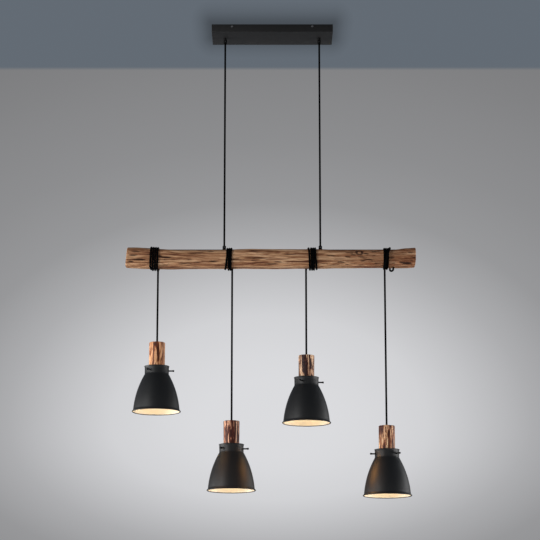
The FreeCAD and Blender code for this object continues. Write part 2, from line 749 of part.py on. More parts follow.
def bell_section(body, name):
    """The wall's section: outer and inner outlines are the same curve, one sheet thickness apart."""
    sketch = new_sketch(body, name, "XZ_Plane")
    low, high = math.radians(size("bell_bottom_slope")), math.radians(size("bell_top_slope"))
    centre = V(size("bell_bottom_radius") - size("bell_radius") * math.cos(low),
               size("bell_bottom_z") - size("bell_radius") * math.sin(low), 0)
    centre_x = "bell_bottom_radius - bell_radius * cos(bell_bottom_slope)"
    centre_z = "bell_bottom_z - bell_radius * sin(bell_bottom_slope)"
    chain = {}
    for wall, inwards, sheet_words in (("outer", 0, ""), ("inner", size("shade_sheet"), " - shade_sheet")):
        radius = size("bell_radius") - inwards
        arc = Part.ArcOfCircle(Part.Circle(centre, V(0, 0, 1), radius), low, high)
        foot = (f"rim_radius - bead_radius{sheet_words}", "bead_radius")
        neck = f"neck_radius{sheet_words}"
        lip = f"lip_radius{sheet_words}"
        ends = arc.value(low), arc.value(high)
        neck_r, lip_r = size("neck_radius") - inwards, size("lip_radius") - inwards
        stops = [V(size("rim_radius") - size("bead_radius") - inwards, size("bead_radius"), 0), ends[0],
                 ends[1], V(neck_r, size("neck_bottom_z"), 0), V(neck_r, size("neck_top_z"), 0),
                 V(lip_r, size("shade_height"), 0)]
        flare = sketch.addGeometry(Part.LineSegment(stops[0], stops[1]), False)
        bell = sketch.addGeometry(arc, False)
        rest = [sketch.addGeometry(Part.LineSegment(stops[i], stops[i + 1]), False) for i in (2, 3, 4)]
        chain[wall] = (flare, rest[-1])
        for first, first_end, second, second_end in (
            (flare, 2, bell, 1), (bell, 2, rest[0], 1), (rest[0], 2, rest[1], 1), (rest[1], 2, rest[2], 1),
        ):
            sketch.addConstraint(Sketcher.Constraint("Coincident", first, first_end, second, second_end))
        pin_point(sketch, bell, 3, centre_x, centre_z)
        pin_point(sketch, flare, 1, *foot)
        pin_height(sketch, bell, 1, f"{centre_z} + (bell_radius{sheet_words}) * sin(bell_bottom_slope)")
        pin_height(sketch, bell, 2, f"{centre_z} + (bell_radius{sheet_words}) * sin(bell_top_slope)")
        bend = sketch.addConstraint(Sketcher.Constraint("Radius", bell, radius))
        sketch.setExpression(f"Constraints[{bend}]", in_sheet(f"bell_radius{sheet_words}"))
        pin_point(sketch, rest[0], 2, neck, "neck_bottom_z")
        pin_point(sketch, rest[1], 2, neck, "neck_top_z")
        pin_point(sketch, rest[2], 2, lip, "shade_height")
    for end, place_in_chain in ((1, 0), (2, 1)):
        outer, inner = chain["outer"][place_in_chain], chain["inner"][place_in_chain]
        across_the_sheet = Part.LineSegment(sketch.getPoint(outer, end), sketch.getPoint(inner, end))
        joint = sketch.addGeometry(across_the_sheet, False)
        sketch.addConstraint(Sketcher.Constraint("Coincident", joint, 1, outer, end))
        sketch.addConstraint(Sketcher.Constraint("Coincident", joint, 2, inner, end))
    return sketch


def pin_height(sketch, geometry, end, up):
    point = sketch.getPoint(geometry, end)
    index = sketch.addConstraint(Sketcher.Constraint("DistanceY", -1, 1, geometry, end, point.y))
    sketch.setExpression(f"Constraints[{index}]", in_sheet(up))


def thumb_screws(head):
    """Three knurled-end screws through the neck's holes into the cup's wall."""
    screws = []
    for number in range(3):
        angle = f"(screw_angle_{head} + {120 * number})"
        spot = lambda radius: (f"drop_x_{head} + ({radius}) * cos({angle})", f"({radius}) * sin({angle})",
                               f"rim_z_{head} + thumb_screw_z")
        turn = FreeCAD.Rotation(V(0, 0, 1), size(f"screw_angle_{head}") + 120 * number)
        turn = turn.multiply(FreeCAD.Rotation(V(0, 1, 0), 90))
        name = f"thumb_screw_{head}_{number + 1}"
        outwards = (turn.Axis, math.degrees(turn.Angle))
        shank = cylinder(name + "_shank", "thumb_screw_radius", "thumb_screw_reach - thumb_screw_start",
                         spot("thumb_screw_start"), outwards)
        knob = cylinder(name + "_knob", "thumb_head_radius", "thumb_head_length",
                        spot("thumb_screw_reach - thumb_head_length"), outwards)
        screws.append(fuse(name, [shank, knob]))
    group(f"thumb_screws_{head}", screws)


def bulb(head):
    """Opal globe lamp: metal screw cap with its tip, and a closed globe that narrows to the cap."""
    x, rim = f"drop_x_{head}", f"rim_z_{head}"
    barrel = cylinder(f"cap_barrel_{head}", "bulb_cap_radius", "bulb_cap_length",
                      (x, "0", f"{rim} + bulb_cap_z"))
    tip = cone(f"cap_tip_{head}", "bulb_cap_radius", "bulb_tip_radius",
               "bulb_tip_z - bulb_cap_z - bulb_cap_length",
               (x, "0", f"{rim} + bulb_cap_z + bulb_cap_length"))
    label_as(fuse(f"bulb_cap_{head}", [barrel, tip]), f"bulb_cap_{head}")
    globe = ball(f"globe_ball_{head}", "bulb_radius", (x, "0", f"{rim} + bulb_centre_z"))
    shoulder = "bulb_centre_z + bulb_radius * sin(bulb_shoulder_angle)"
    neck = cone(f"globe_neck_{head}", "bulb_radius * cos(bulb_shoulder_angle)", "bulb_neck_radius",
                f"bulb_cap_z - ({shoulder})", (x, "0", f"{rim} + {shoulder}"))
    label_as(fuse(f"bulb_globe_{head}", [globe, neck]), f"bulb_globe_{head}")


# ---------------------------------------------------------------- build, check and write
ceiling_bracket()
canopy_cover()
canopy_side_screws()
mains_terminal_block()
canopy_grips_and_nuts()
canopy_leads()
suspension_cords()
wood_beam()
beam_top_rail()
rail_screws()
beam_grips_and_nuts()
beam_wiring()
for head in HEADS:
    cord_wrap(head)
    pendant_cord(head)
    wood_sleeve(head)
    lampholder(head)
    holder_contacts(head)
    holder_ring(head)
    gallery_cup(head)
    shade(head)
    thumb_screws(head)
    bulb(head)
doc.recompute()

SHARED = [
    "ceiling_bracket", "canopy_cover", "canopy_side_screws", "mains_terminal_block", "canopy_cord_grips",
    "canopy_grip_nuts", "canopy_leads", "suspension_cord_left", "suspension_cord_right", "wood_beam",
    "beam_top_rail", "rail_screws", "beam_cord_grips", "beam_grip_nuts", "splice_connectors", "beam_leads",
]
PER_HEAD = [
    "cord_wrap", "cord_drop", "wood_sleeve", "lampholder", "holder_contacts", "holder_ring", "gallery_cup",
    "shade", "thumb_screws", "bulb_cap", "bulb_globe",
]
nodes = SHARED + [f"{name}_{head}" for name in PER_HEAD for head in HEADS]

for item in doc.Objects:
    if {"Invalid", "Error"} & set(item.State):
        raise RuntimeError(f"{item.Label} failed: {item.State}")
shapes = {}
for node in nodes:
    found = doc.getObjectsByLabel(node)
    if len(found) != 1:
        raise RuntimeError(f"{node}: {len(found)} objects have this label")
    shape = found[0].Shape
    if shape.isNull() or not shape.isValid() or not shape.Solids:
        raise RuntimeError(f"{node} has no valid solid")
    shapes[node] = shape

# A straight cord's volume is its section times its length, plus the domes at its free ends.
section = math.pi * size("cord_radius") ** 2
straight_cords = [(f"suspension_cord_{side}", 2) for side in SIDES]
straight_cords += [(f"cord_drop_{head}", 1) for head in HEADS]
for node, domes in straight_cords:
    length = shapes[node].BoundBox.ZLength - domes * size("cord_radius")
    dome_volume = domes * 2 / 3 * section * size("cord_radius")
    ratio = shapes[node].Volume / (section * length + dome_volume)
    print(f"{node}: straight run {length:.1f} mm, volume ratio {ratio:.4f}")
print(f"canopy_leads: bend radius {size('lead_bend')} mm")

os.makedirs("parts", exist_ok=True)
for node, shape in shapes.items():
    shape.exportStep(os.path.join("parts", node + ".step"))
    print(f"{node}: {len(shape.Solids)} solid(s), {shape.Volume / 1000:.1f} cm3")
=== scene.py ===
# %% [markdown]
# # A pool table lamp: beam, wound cords and four bell shades
#
# The frame file holds the lamp's real shape: every part's place, size and joint. This lesson gives the
# lamp its looks. It turns sheet metal and wood on a Geometry Nodes lathe, grows a weathered beam from a
# formula, winds textile cord round it, and drives screws with one more node tree.
# All lengths are in metres. +Z is up, +X runs along the beam, and the viewer stands at -Y.

# %% Load the frame
import json
import math

import bmesh
import bpy
from mathutils import Matrix, Vector, noise

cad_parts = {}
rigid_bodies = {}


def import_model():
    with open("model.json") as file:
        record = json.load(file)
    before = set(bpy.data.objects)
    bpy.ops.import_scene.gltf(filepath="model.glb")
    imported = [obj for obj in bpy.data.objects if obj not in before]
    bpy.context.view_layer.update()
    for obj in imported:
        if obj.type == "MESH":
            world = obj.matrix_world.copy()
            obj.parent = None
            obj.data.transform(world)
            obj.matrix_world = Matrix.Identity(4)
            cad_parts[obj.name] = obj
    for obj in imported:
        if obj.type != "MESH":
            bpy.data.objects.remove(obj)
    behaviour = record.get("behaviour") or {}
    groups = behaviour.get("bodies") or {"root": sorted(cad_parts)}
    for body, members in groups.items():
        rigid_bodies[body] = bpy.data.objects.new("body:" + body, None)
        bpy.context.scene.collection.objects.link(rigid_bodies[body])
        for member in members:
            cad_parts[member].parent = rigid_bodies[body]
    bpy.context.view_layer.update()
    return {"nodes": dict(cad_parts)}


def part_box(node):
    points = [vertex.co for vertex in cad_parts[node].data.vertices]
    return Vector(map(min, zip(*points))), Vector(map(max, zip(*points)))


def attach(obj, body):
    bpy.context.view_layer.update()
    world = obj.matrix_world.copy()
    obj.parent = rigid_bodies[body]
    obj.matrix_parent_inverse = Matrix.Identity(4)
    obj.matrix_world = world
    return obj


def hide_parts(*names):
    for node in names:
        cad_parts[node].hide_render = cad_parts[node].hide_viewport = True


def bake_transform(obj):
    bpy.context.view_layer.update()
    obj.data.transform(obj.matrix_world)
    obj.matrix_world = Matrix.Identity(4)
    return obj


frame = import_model()
MM = 0.001
HEADS = (1, 2, 3, 4)
scene = bpy.context.scene


def shown(name, data):
    """A new object in the scene."""
    made = bpy.data.objects.new(name, data)
    scene.collection.objects.link(made)
    return made


# %% [markdown]
# ## Camera
#
# The lamp is seen from 6 m away and from well below its beam, so that the underside of the canopy and
# the lit insides of the shades show. A long lens keeps the cords parallel.

# %% Camera
CAMERA_PLACE = Vector((-0.0072, -6.0, -2.0909))
CAMERA_PITCH = 12.3
LENS = 131.4

camera_data = bpy.data.cameras.new("camera")
camera_data.lens = LENS
camera_data.sensor_width = 36.0
camera_data.clip_end = 60.0
camera = shown("camera", camera_data)
camera.location = CAMERA_PLACE
camera.rotation_euler = (math.radians(90 + CAMERA_PITCH), 0, 0)
scene.camera = camera
scene.view_settings.view_transform = "Standard"
print("camera at", [round(v, 3) for v in camera.location])

# %% [markdown]
# ## Small helpers for node trees
#
# Shader trees and geometry trees are both graphs of nodes and links. A few helpers keep the recipes below
# short: `add` makes a node and fills its sockets, `link` and `wire` join outputs to inputs, and `calc`,
# `mix`, `ramp`, `step` and `grain` each make one kind of node and return its output.

# %% Node helpers
def add(tree, kind, label="", **values):
    """A new node; each keyword fills the input socket of that name, with _ for a space."""
    made = tree.nodes.new(kind)
    made.label = label
    for name, value in values.items():
        made.inputs[name.replace("_", " ")].default_value = value
    return made


def link(tree, source, target):
    tree.links.new(source, target)


def wire(tree, *joins):
    """Link (node, its output, node, its input) by the sockets' names."""
    for source, output, target, entry in joins:
        link(tree, source.outputs[output], target.inputs[entry])


def fill(tree, node, sockets, operands):
    """Put operands into a node's sockets; each is an output socket, a number or a colour."""
    for socket, operand in zip(sockets, operands):
        if isinstance(operand, bpy.types.NodeSocket):
            link(tree, operand, node.inputs[socket])
        else:
            node.inputs[socket].default_value = (*operand, 1.0) if isinstance(operand, tuple) else operand


def calc(tree, operation, *operands):
    """A Math node; each operand is a number or an output socket."""
    made = tree.nodes.new("ShaderNodeMath")
    made.operation = operation
    fill(tree, made, range(3), operands)
    return made.outputs[0]


def mix(tree, fac, first, second):
    """Mix two colours; fac, first and second are sockets or plain values."""
    made = tree.nodes.new("ShaderNodeMix")
    made.data_type = "RGBA"
    fill(tree, made, (0, 6, 7), (fac, first, second))
    return made.outputs[2]


def ramp(tree, fac, stops):
    """A colour ramp through (position, colour) stops."""
    made = tree.nodes.new("ShaderNodeValToRGB")
    elements = made.color_ramp.elements
    elements.remove(elements[0])
    for index, (position, colour) in enumerate(stops):
        element = elements.new(position) if index else elements[0]
        element.position, element.color = position, (*colour, 1.0)
    link(tree, fac, made.inputs["Fac"])
    return made.outputs["Color"]


def step(tree, value, low, high):
    """0 below low, 1 above high, smooth between."""
    made = add(tree, "ShaderNodeMapRange", From_Min=low, From_Max=high)
    made.interpolation_type = "SMOOTHSTEP"
    link(tree, value, made.inputs["Value"])
    return made.outputs["Result"]


def stretched(tree, scale, shift=(0, 0, 0)):
    """Object coordinates scaled along each axis."""
    mapping = add(tree, "ShaderNodeMapping", Scale=scale, Location=shift)
    wire(tree, (tree.nodes.new("ShaderNodeTexCoord"), "Object", mapping, "Vector"))
    return mapping.outputs["Vector"]


def grain(tree, scale, detail=4.0, rough=0.55, twist=0.0, shift=(0, 0, 0)):
    """Noise over the piece: scale is one number, or three where the grain has a direction."""
    scale = scale if isinstance(scale, tuple) else (scale,) * 3
    made = add(tree, "ShaderNodeTexNoise", Scale=1.0, Detail=detail, Roughness=rough, Distortion=twist)
    link(tree, stretched(tree, scale, shift), made.inputs["Vector"])
    return made.outputs["Fac"]


def split_axes(tree, vector):
    """The X, Y and Z outputs of a vector, by name."""
    made = tree.nodes.new("ShaderNodeSeparateXYZ")
    link(tree, vector, made.inputs["Vector"])
    return made.outputs


def new_finish(name, colour, roughness, metallic=0.0, specular=0.5):
    """A material with one Principled shader; returns the material, its tree and the shader."""
    material = bpy.data.materials.new(name)
    material.use_nodes = True
    tree = material.node_tree
    shader = tree.nodes["Principled BSDF"]
    for socket, value in (("Base Color", (*colour, 1.0)), ("Roughness", roughness), ("Metallic", metallic),
                          ("Specular IOR Level", specular)):
        shader.inputs[socket].default_value = value
    return material, tree, shader


def raise_bumps(tree, shader, height, strength, distance):
    bump = add(tree, "ShaderNodeBump", "relief", Strength=strength, Distance=distance)
    link(tree, height, bump.inputs["Height"])
    wire(tree, (bump, "Normal", shader, "Normal"))


print("node helpers ready")

# %% [markdown]
# ## Background, floor and light
#
# Four real walls and a ceiling would need meshes metres away. The world shader draws that square room
# instead: each wall has a soft glow at the height of the shades, and the ceiling is a cooler, darker
# grey. It lights the lamp a little, as a studio's walls do. The pale floor lies well below the lamp. It is
# clear when seen from underneath, so that it never hides the lamp from a low camera.

# %% Backdrop
GLOW_HEIGHT = 0.137
GLOW_HALF_WIDTH, GLOW_HALF_UP, GLOW_HALF_DOWN = 0.1115, 0.0785, 0.053
CEILING_EDGE, CEILING_SOFT = 0.3275, 0.0012
CEILING_GREY = (0.125, 0.148, 0.176)
WALL_GREYS = [(0.0, 0.708), (0.108, 0.706), (0.162, 0.690), (0.26, 0.640), (0.335, 0.545), (0.432, 0.415),
              (0.54, 0.310), (0.684, 0.265), (0.83, 0.237), (0.9, 0.222), (1.0, 0.205)]


def backdrop():
    """A square room: on each wall a soft glow that fades outwards, under a cooler, darker ceiling."""
    world = bpy.data.worlds.new("backdrop")
    world.use_nodes = True
    tree = world.node_tree
    way = split_axes(tree, tree.nodes.new("ShaderNodeTexCoord").outputs["Generated"])
    flat_x, flat_y = (calc(tree, "ABSOLUTE", way[axis]) for axis in "XY")
    wall_way = calc(tree, "MAXIMUM", flat_x, flat_y)
    up = calc(tree, "DIVIDE", way["Z"], wall_way)
    aside = calc(tree, "DIVIDE", calc(tree, "MINIMUM", flat_x, flat_y), wall_way)
    from_glow = calc(tree, "SUBTRACT", up, GLOW_HEIGHT)
    above = calc(tree, "DIVIDE", calc(tree, "MAXIMUM", from_glow, 0.0), GLOW_HALF_UP)
    below = calc(tree, "DIVIDE", calc(tree, "MINIMUM", from_glow, 0.0), GLOW_HALF_DOWN)
    sideways = calc(tree, "DIVIDE", aside, GLOW_HALF_WIDTH)
    squares = calc(tree, "MULTIPLY_ADD", above, above, calc(tree, "MULTIPLY", below, below))
    away = calc(tree, "SQRT", calc(tree, "MULTIPLY_ADD", sideways, sideways, squares))
    wall = ramp(tree, calc(tree, "MULTIPLY", away, 0.36),
                [(spot, (grey, grey * 1.005, grey * 1.035)) for spot, grey in WALL_GREYS])
    ceiling = step(tree, up, CEILING_EDGE - CEILING_SOFT, CEILING_EDGE + CEILING_SOFT)
    link(tree, mix(tree, ceiling, wall, CEILING_GREY), tree.nodes["Background"].inputs["Color"])
    scene.world = world


backdrop()
print("backdrop:", scene.world.name)

# %% Floor
FLOOR_Z, FLOOR_HALF = -2.4, 6.0


def staged_sheet(name, corners, material):
    """A flat four-cornered sheet that belongs to the stage, not to the lamp."""
    mesh = bpy.data.meshes.new(name)
    mesh.from_pydata(corners, [], [(0, 1, 2, 3)])
    mesh.materials.append(material)
    shown(name, mesh)


def floor():
    """Pale from above and clear from underneath."""
    material, tree, shader = new_finish("pale_floor", (0.62, 0.62, 0.63), 0.75)
    tone = ramp(tree, grain(tree, 3, detail=3), [(0.3, (0.60, 0.60, 0.61)), (0.7, (0.65, 0.65, 0.66))])
    link(tree, tone, shader.inputs["Base Color"])
    choose = tree.nodes.new("ShaderNodeMixShader")
    wire(tree, (tree.nodes.new("ShaderNodeNewGeometry"), "Backfacing", choose, "Fac"), (shader, "BSDF", choose, 1),
         (tree.nodes.new("ShaderNodeBsdfTransparent"), "BSDF", choose, 2),
         (choose, "Shader", tree.nodes["Material Output"], "Surface"))
    corners = ((-1, -1), (1, -1), (1, 1), (-1, 1))
    staged_sheet("floor", [(x * FLOOR_HALF, y * FLOOR_HALF, FLOOR_Z) for x, y in corners], material)


floor()
print("floor at", FLOOR_Z)

# %% Soft shadow on the ceiling
SHADOW_GREYS = [(0.0, 0.52), (0.16, 0.60), (0.33, 0.73), (0.5, 0.84), (0.7, 0.93), (0.93, 1.0)]
SHADOW_REACH = (0.075, 0.24)
SHADOW_FADE = (("X", 0.052), ("Y", 0.165))
SHADOW_LIFT = 1.5 * MM


def ceiling_shadow():
    """A clear sheet just above the canopy that dims what is seen through it near the canopy's outline."""
    low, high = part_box("canopy_cover")
    material = bpy.data.materials.new("soft_shadow")
    material.use_nodes = True
    tree = material.node_tree
    tree.nodes.remove(tree.nodes["Principled BSDF"])
    place = split_axes(tree, tree.nodes.new("ShaderNodeTexCoord").outputs["Object"])
    squares = []
    for (axis, fade), edge in zip(SHADOW_FADE, high):
        beyond = calc(tree, "SUBTRACT", calc(tree, "ABSOLUTE", place[axis]), edge)
        share = calc(tree, "DIVIDE", calc(tree, "MAXIMUM", beyond, 0.0), fade)
        squares.append(calc(tree, "MULTIPLY", share, share))
    away = calc(tree, "SQRT", calc(tree, "ADD", *squares))
    dim = ramp(tree, calc(tree, "MULTIPLY", away, 0.72), [(spot, (grey,) * 3) for spot, grey in SHADOW_GREYS])
    clear = tree.nodes.new("ShaderNodeBsdfTransparent")
    underside = tree.nodes.new("ShaderNodeNewGeometry").outputs["Backfacing"]
    link(tree, mix(tree, underside, dim, (1.0, 1.0, 1.0)), clear.inputs["Color"])
    wire(tree, (clear, "BSDF", tree.nodes["Material Output"], "Surface"))
    left, right = low[0] - SHADOW_REACH[0], high[0] + SHADOW_REACH[0]
    front, back = low[1] - SHADOW_REACH[1], high[1] + SHADOW_REACH[1]
    corners = ((left, back), (right, back), (right, front), (left, front))
    staged_sheet("ceiling_shadow", [(x, y, SHADOW_LIFT) for x, y in corners], material)


ceiling_shadow()
print("soft shadow ready")

# %% Lights
LAMP_MIDDLE, SHADES_MIDDLE = (0.0, 0.0, -0.95), (0.0, 0.0, -1.35)


def light(name, kind, place, aim, power, colour=(1, 1, 1), **settings):
    """A light at place that shines towards aim."""
    data = bpy.data.lights.new(name, kind)
    data.energy, data.color = power, colour
    for setting, value in settings.items():
        setattr(data, setting, value)
    made = shown(name, data)
    made.location = place
    made.rotation_euler = (Vector(aim) - Vector(place)).to_track_quat("-Z", "Y").to_euler()


for name, place, aim, width, power in (
    ("key_left", (-3.2, -2.6, -0.7), LAMP_MIDDLE, 1.6, 62), ("fill_front", (0.9, -4.6, -2.6), LAMP_MIDDLE, 2.4, 34),
    ("rim_right", (3.0, 1.4, -0.6), LAMP_MIDDLE, 1.4, 14), ("side_left", (-3.6, 0.2, -2.0), SHADES_MIDDLE, 2.2, 132),
    ("side_right", (3.8, 0.0, -2.0), SHADES_MIDDLE, 2.0, 100),
):
    light(name, "AREA", place, aim, power, shape="RECTANGLE", size=width, size_y=width * 0.8)

# Warm light that a lit shade throws on its neighbour's flank.
for name, place, aim, power, softness in (
    ("spill_on_second", (0.150, -0.10, -1.285), (-0.070, -0.02, -1.430), 1.45, 0.05),
    ("spill_on_fourth", (0.075, -0.04, -1.285), (0.300, -0.02, -1.425), 2.2, 0.05),
    ("spill_left_of_second", (-0.330, -0.12, -1.250), (-0.165, -0.03, -1.445), 2.3, 0.16),
):
    light(name, "SPOT", place, aim, power, (1.0, 0.43, 0.10), spot_size=math.radians(46), spot_blend=1.0,
          shadow_soft_size=softness)

# %% [markdown]
# ## Finishes
#
# Each finish is a small recipe. A powder coat is black, half matt and faintly pebbled. Zinc and brass are
# brushed metals with a little mottling. Moulded plastic has a fine even texture. Textile cord is braided,
# so its pattern follows the cord's own unrolled surface. Wood is the main show: long grain, dark streaks,
# cracks and a knot.

# %% Coated and plated metal, plastic, glass
def scaled(colour, factor, more=0.0):
    """A colour made darker or lighter, never above 1."""
    return tuple(min(1.0, channel * factor + more) for channel in colour)


def coated_steel(name, colour, roughness):
    """Powder coat: fine pebbles in the relief and slow changes in gloss."""
    material, tree, shader = new_finish(name, colour, roughness, specular=0.44)
    gloss = calc(tree, "MULTIPLY_ADD", grain(tree, 28, detail=3), 0.12, roughness - 0.06)
    link(tree, gloss, shader.inputs["Roughness"])
    dust = step(tree, grain(tree, 160, detail=6), 0.60, 0.78)
    link(tree, mix(tree, dust, colour, scaled(colour, 1.06, 0.0015)), shader.inputs["Base Color"])
    raise_bumps(tree, shader, grain(tree, 1100, detail=1.5), 0.22, 0.00012)
    return material


def plated(name, colour, roughness):
    """Bare or plated metal with fine drawn lines along X and soft mottling."""
    material, tree, shader = new_finish(name, colour, roughness, metallic=1.0)
    lines = grain(tree, (30, 900, 900), detail=2)
    link(tree, mix(tree, grain(tree, 70, detail=4), colour, scaled(colour, 0.78)), shader.inputs["Base Color"])
    link(tree, calc(tree, "MULTIPLY_ADD", lines, 0.18, roughness - 0.09), shader.inputs["Roughness"])
    raise_bumps(tree, shader, lines, 0.12, 0.00008)
    return material


def moulded(name, colour, roughness):
    """Moulded plastic with a fine spark-eroded texture."""
    material, tree, shader = new_finish(name, colour, roughness, specular=0.12)
    tone = mix(tree, grain(tree, 40, detail=3), colour, scaled(colour, 1.15, 0.002))
    link(tree, tone, shader.inputs["Base Color"])
    raise_bumps(tree, shader, grain(tree, 1500, detail=2), 0.15, 0.0001)
    return material


def opal_glow(name, strength):
    """A lit opal bulb: warm white light from the whole globe, slightly cloudy."""
    material, tree, shader = new_finish(name, (0.95, 0.9, 0.8), 0.3)
    glow = mix(tree, grain(tree, 45, detail=2), (1.0, 0.72, 0.42), (1.0, 0.77, 0.48))
    link(tree, glow, shader.inputs["Emission Color"])
    shader.inputs["Emission Strength"].default_value = strength
    shader.inputs["Coat Weight"].default_value = 0.3
    return material


BLACK_COAT = coated_steel("black_powder_coat", (0.0050, 0.0049, 0.0051), 0.5)
CANOPY_COAT = coated_steel("canopy_powder_coat", (0.0036, 0.0032, 0.0032), 0.6)
WHITE_COAT = coated_steel("warm_white_enamel", (0.86, 0.80, 0.68), 0.42)
ZINC = plated("zinc_plate", (0.60, 0.61, 0.63), 0.38)
NICKEL = plated("bright_nickel", (0.80, 0.80, 0.79), 0.24)
DULL_STEEL = plated("dull_screw_steel", (0.24, 0.24, 0.25), 0.5)
BRASS = plated("plain_brass", (0.78, 0.58, 0.28), 0.3)
BLACK_PLASTIC = moulded("black_plastic", (0.0018, 0.0018, 0.0020), 0.55)
WHITE_PLASTIC = moulded("white_plastic", (0.78, 0.78, 0.75), 0.5)
OPAL = opal_glow("lit_opal_globe", 4.1)
print("metal, plastic and glass finishes made")

# %% Braided textile
STRANDS = 8


def braided(name, colour):
    """Textile braid: two families of slanting strands over the cord's unrolled surface, with painted shade between
    the strands and a painted highlight on their crowns.
    """
    material, tree, shader = new_finish(name, colour, 0.85, specular=0.008)
    uv = tree.nodes.new("ShaderNodeUVMap")
    uv.uv_map = "braid"
    place = split_axes(tree, uv.outputs["UV"])
    around = calc(tree, "MULTIPLY", place["X"], STRANDS * 2 * math.pi)
    along = calc(tree, "MULTIPLY", place["Y"], STRANDS * 1.1 * math.pi)
    left, right = (calc(tree, "SINE", calc(tree, way, around, along)) for way in ("ADD", "SUBTRACT"))
    height = calc(tree, "MULTIPLY_ADD", calc(tree, "MULTIPLY", left, right), 0.5, 0.5)
    fuzz = calc(tree, "MULTIPLY", grain(tree, 2500, detail=3), 0.3)
    # Painted shade and highlight: the strands' colour is darker in the grooves between them and lighter on their
    # crowns.
    shaded_strands = mix(tree, height, scaled(colour, 0.5), scaled(colour, 1.5))
    link(tree, mix(tree, fuzz, shaded_strands, scaled(colour, 2.0)), shader.inputs["Base Color"])
    raise_bumps(tree, shader, calc(tree, "ADD", height, fuzz), 0.5, 0.0004)
    return material


TEXTILE = braided("black_braided_cord", (0.0024, 0.0024, 0.0026))
print("braid made")

# %% [markdown]
# ## The beam's wood
#
# Old softwood, brushed and oiled: pale brown fibres run the length of the beam, with darker brown
# between them and short, nearly black dashes where the surface has opened. The cracks and the knot are
# real dents in the mesh, which also carry an attribute called `crack`, so that the colour darkens where
# the dent is deep: painted shade inside the cracks, and the knot's own dark wood.

# %% Rustic wood
def rustic_wood():
    material, tree, shader = new_finish("rustic_beam_wood", (0.30, 0.15, 0.08), 0.7, specular=0.25)

    def share(value, factor):
        return calc(tree, "MULTIPLY", value, factor)

    wander = grain(tree, (6, 20, 20), detail=3, twist=0.5)
    bands = grain(tree, (9, 150, 150), detail=5, rough=0.62, twist=0.5)
    fibres = grain(tree, (22, 520, 520), detail=4, rough=0.7)
    tone = calc(tree, "ADD", share(bands, 0.60), calc(tree, "MULTIPLY_ADD", fibres, 0.28, share(wander, 0.12)))
    colour = ramp(tree, tone, [(0.395, (0.090, 0.026, 0.012)), (0.450, (0.25, 0.098, 0.043)),
                               (0.495, (0.46, 0.225, 0.107)), (0.545, (0.66, 0.37, 0.195)),
                               (0.62, (0.92, 0.60, 0.36))])
    rings = step(tree, grain(tree, (4.5, 85, 85), detail=2, twist=0.8, shift=(2, 5, 1)), 0.47, 0.53)
    edge = calc(tree, "MULTIPLY", rings, calc(tree, "SUBTRACT", 1.0, rings))
    patches = step(tree, grain(tree, (3.2, 9, 9), detail=3, shift=(4, 0, 0)), 0.50, 0.75)
    right = step(tree, split_axes(tree, stretched(tree, (1, 1, 1)))["X"], 0.12, 0.34)
    dashes = step(tree, grain(tree, (26, 270, 270), detail=3, shift=(9, 2, 0)), 0.60, 0.66)
    where = step(tree, grain(tree, (6, 24, 24), detail=2, shift=(1, 7, 3)), 0.44, 0.56)
    open_grain = calc(tree, "MULTIPLY", dashes, where)
    # The crack attribute darkens the colour: painted shade in the cracks, and the knot's own dark ring and the end
    # grain's rings.
    crack = tree.nodes.new("ShaderNodeAttribute")
    crack.attribute_name = "crack"
    for amount, stain_and_shade in (
        (share(edge, 2.0), (0.17, 0.052, 0.026)), (share(patches, 0.30), (0.34, 0.155, 0.075)),
        (share(right, 0.42), (0.24, 0.070, 0.026)), (share(open_grain, 0.9), (0.028, 0.009, 0.006)),
        (calc(tree, "MINIMUM", crack.outputs["Fac"], 1.0), (0.016, 0.005, 0.004)),
    ):
        colour = mix(tree, amount, colour, stain_and_shade)
    link(tree, colour, shader.inputs["Base Color"])
    link(tree, calc(tree, "MULTIPLY_ADD", fibres, 0.25, 0.55), shader.inputs["Roughness"])
    relief = calc(tree, "SUBTRACT", calc(tree, "ADD", share(bands, 0.9), share(fibres, 0.45)),
                  share(open_grain, 0.8))
    raise_bumps(tree, shader, relief, 0.8, 0.002)
    return material


RUSTIC = rustic_wood()
print("beam wood made")

# %% [markdown]
# ## The sleeves' wood
#
# The four sleeves are short pieces of a branch, with tan sapwood and dark red-brown bark streaks that
# run up and down. The pattern reads each piece's place on the lamp, so no two sleeves match.

# %% Streaked sleeve wood
def streaked_wood(name, dark_share, deep, light):
    """Upright streaks; dark_share says how much of the surface the dark bark covers."""
    material, tree, shader = new_finish(name, deep, 0.55, specular=0.3)
    flow = grain(tree, (104, 104, 14), detail=3, rough=0.6, twist=1.0, shift=(3, 1, 0))
    fine = grain(tree, (430, 430, 26), detail=4, rough=0.65)
    tone = calc(tree, "ADD", calc(tree, "MULTIPLY", flow, 0.80), calc(tree, "MULTIPLY", fine, 0.20))
    shift = (dark_share - 0.5) * 0.16
    middle = tuple(0.5 * low + 0.5 * high for low, high in zip(deep, light))
    stops = ((0.440, scaled(deep, 0.28)), (0.480, deep), (0.505, middle), (0.540, light),
             (0.600, scaled(light, 1.35, 0.12)))
    colour = ramp(tree, tone, [(spot + shift, tint) for spot, tint in stops])
    link(tree, colour, shader.inputs["Base Color"])
    link(tree, calc(tree, "MULTIPLY_ADD", fine, 0.25, 0.42), shader.inputs["Roughness"])
    raise_bumps(tree, shader, tone, 0.6, 0.0012)
    return material


STREAKED = {
    1: streaked_wood("tan_sleeve_wood", 0.39, (0.30, 0.070, 0.022), (0.70, 0.31, 0.125)),
    2: streaked_wood("red_brown_sleeve_wood", 0.69, (0.17, 0.034, 0.016), (0.72, 0.36, 0.21)),
    3: streaked_wood("dark_streaked_sleeve_wood", 0.68, (0.10, 0.022, 0.013), (0.80, 0.44, 0.25)),
    4: streaked_wood("mixed_sleeve_wood", 0.52, (0.22, 0.050, 0.020), (0.78, 0.40, 0.20)),
}
print("sleeve wood made")

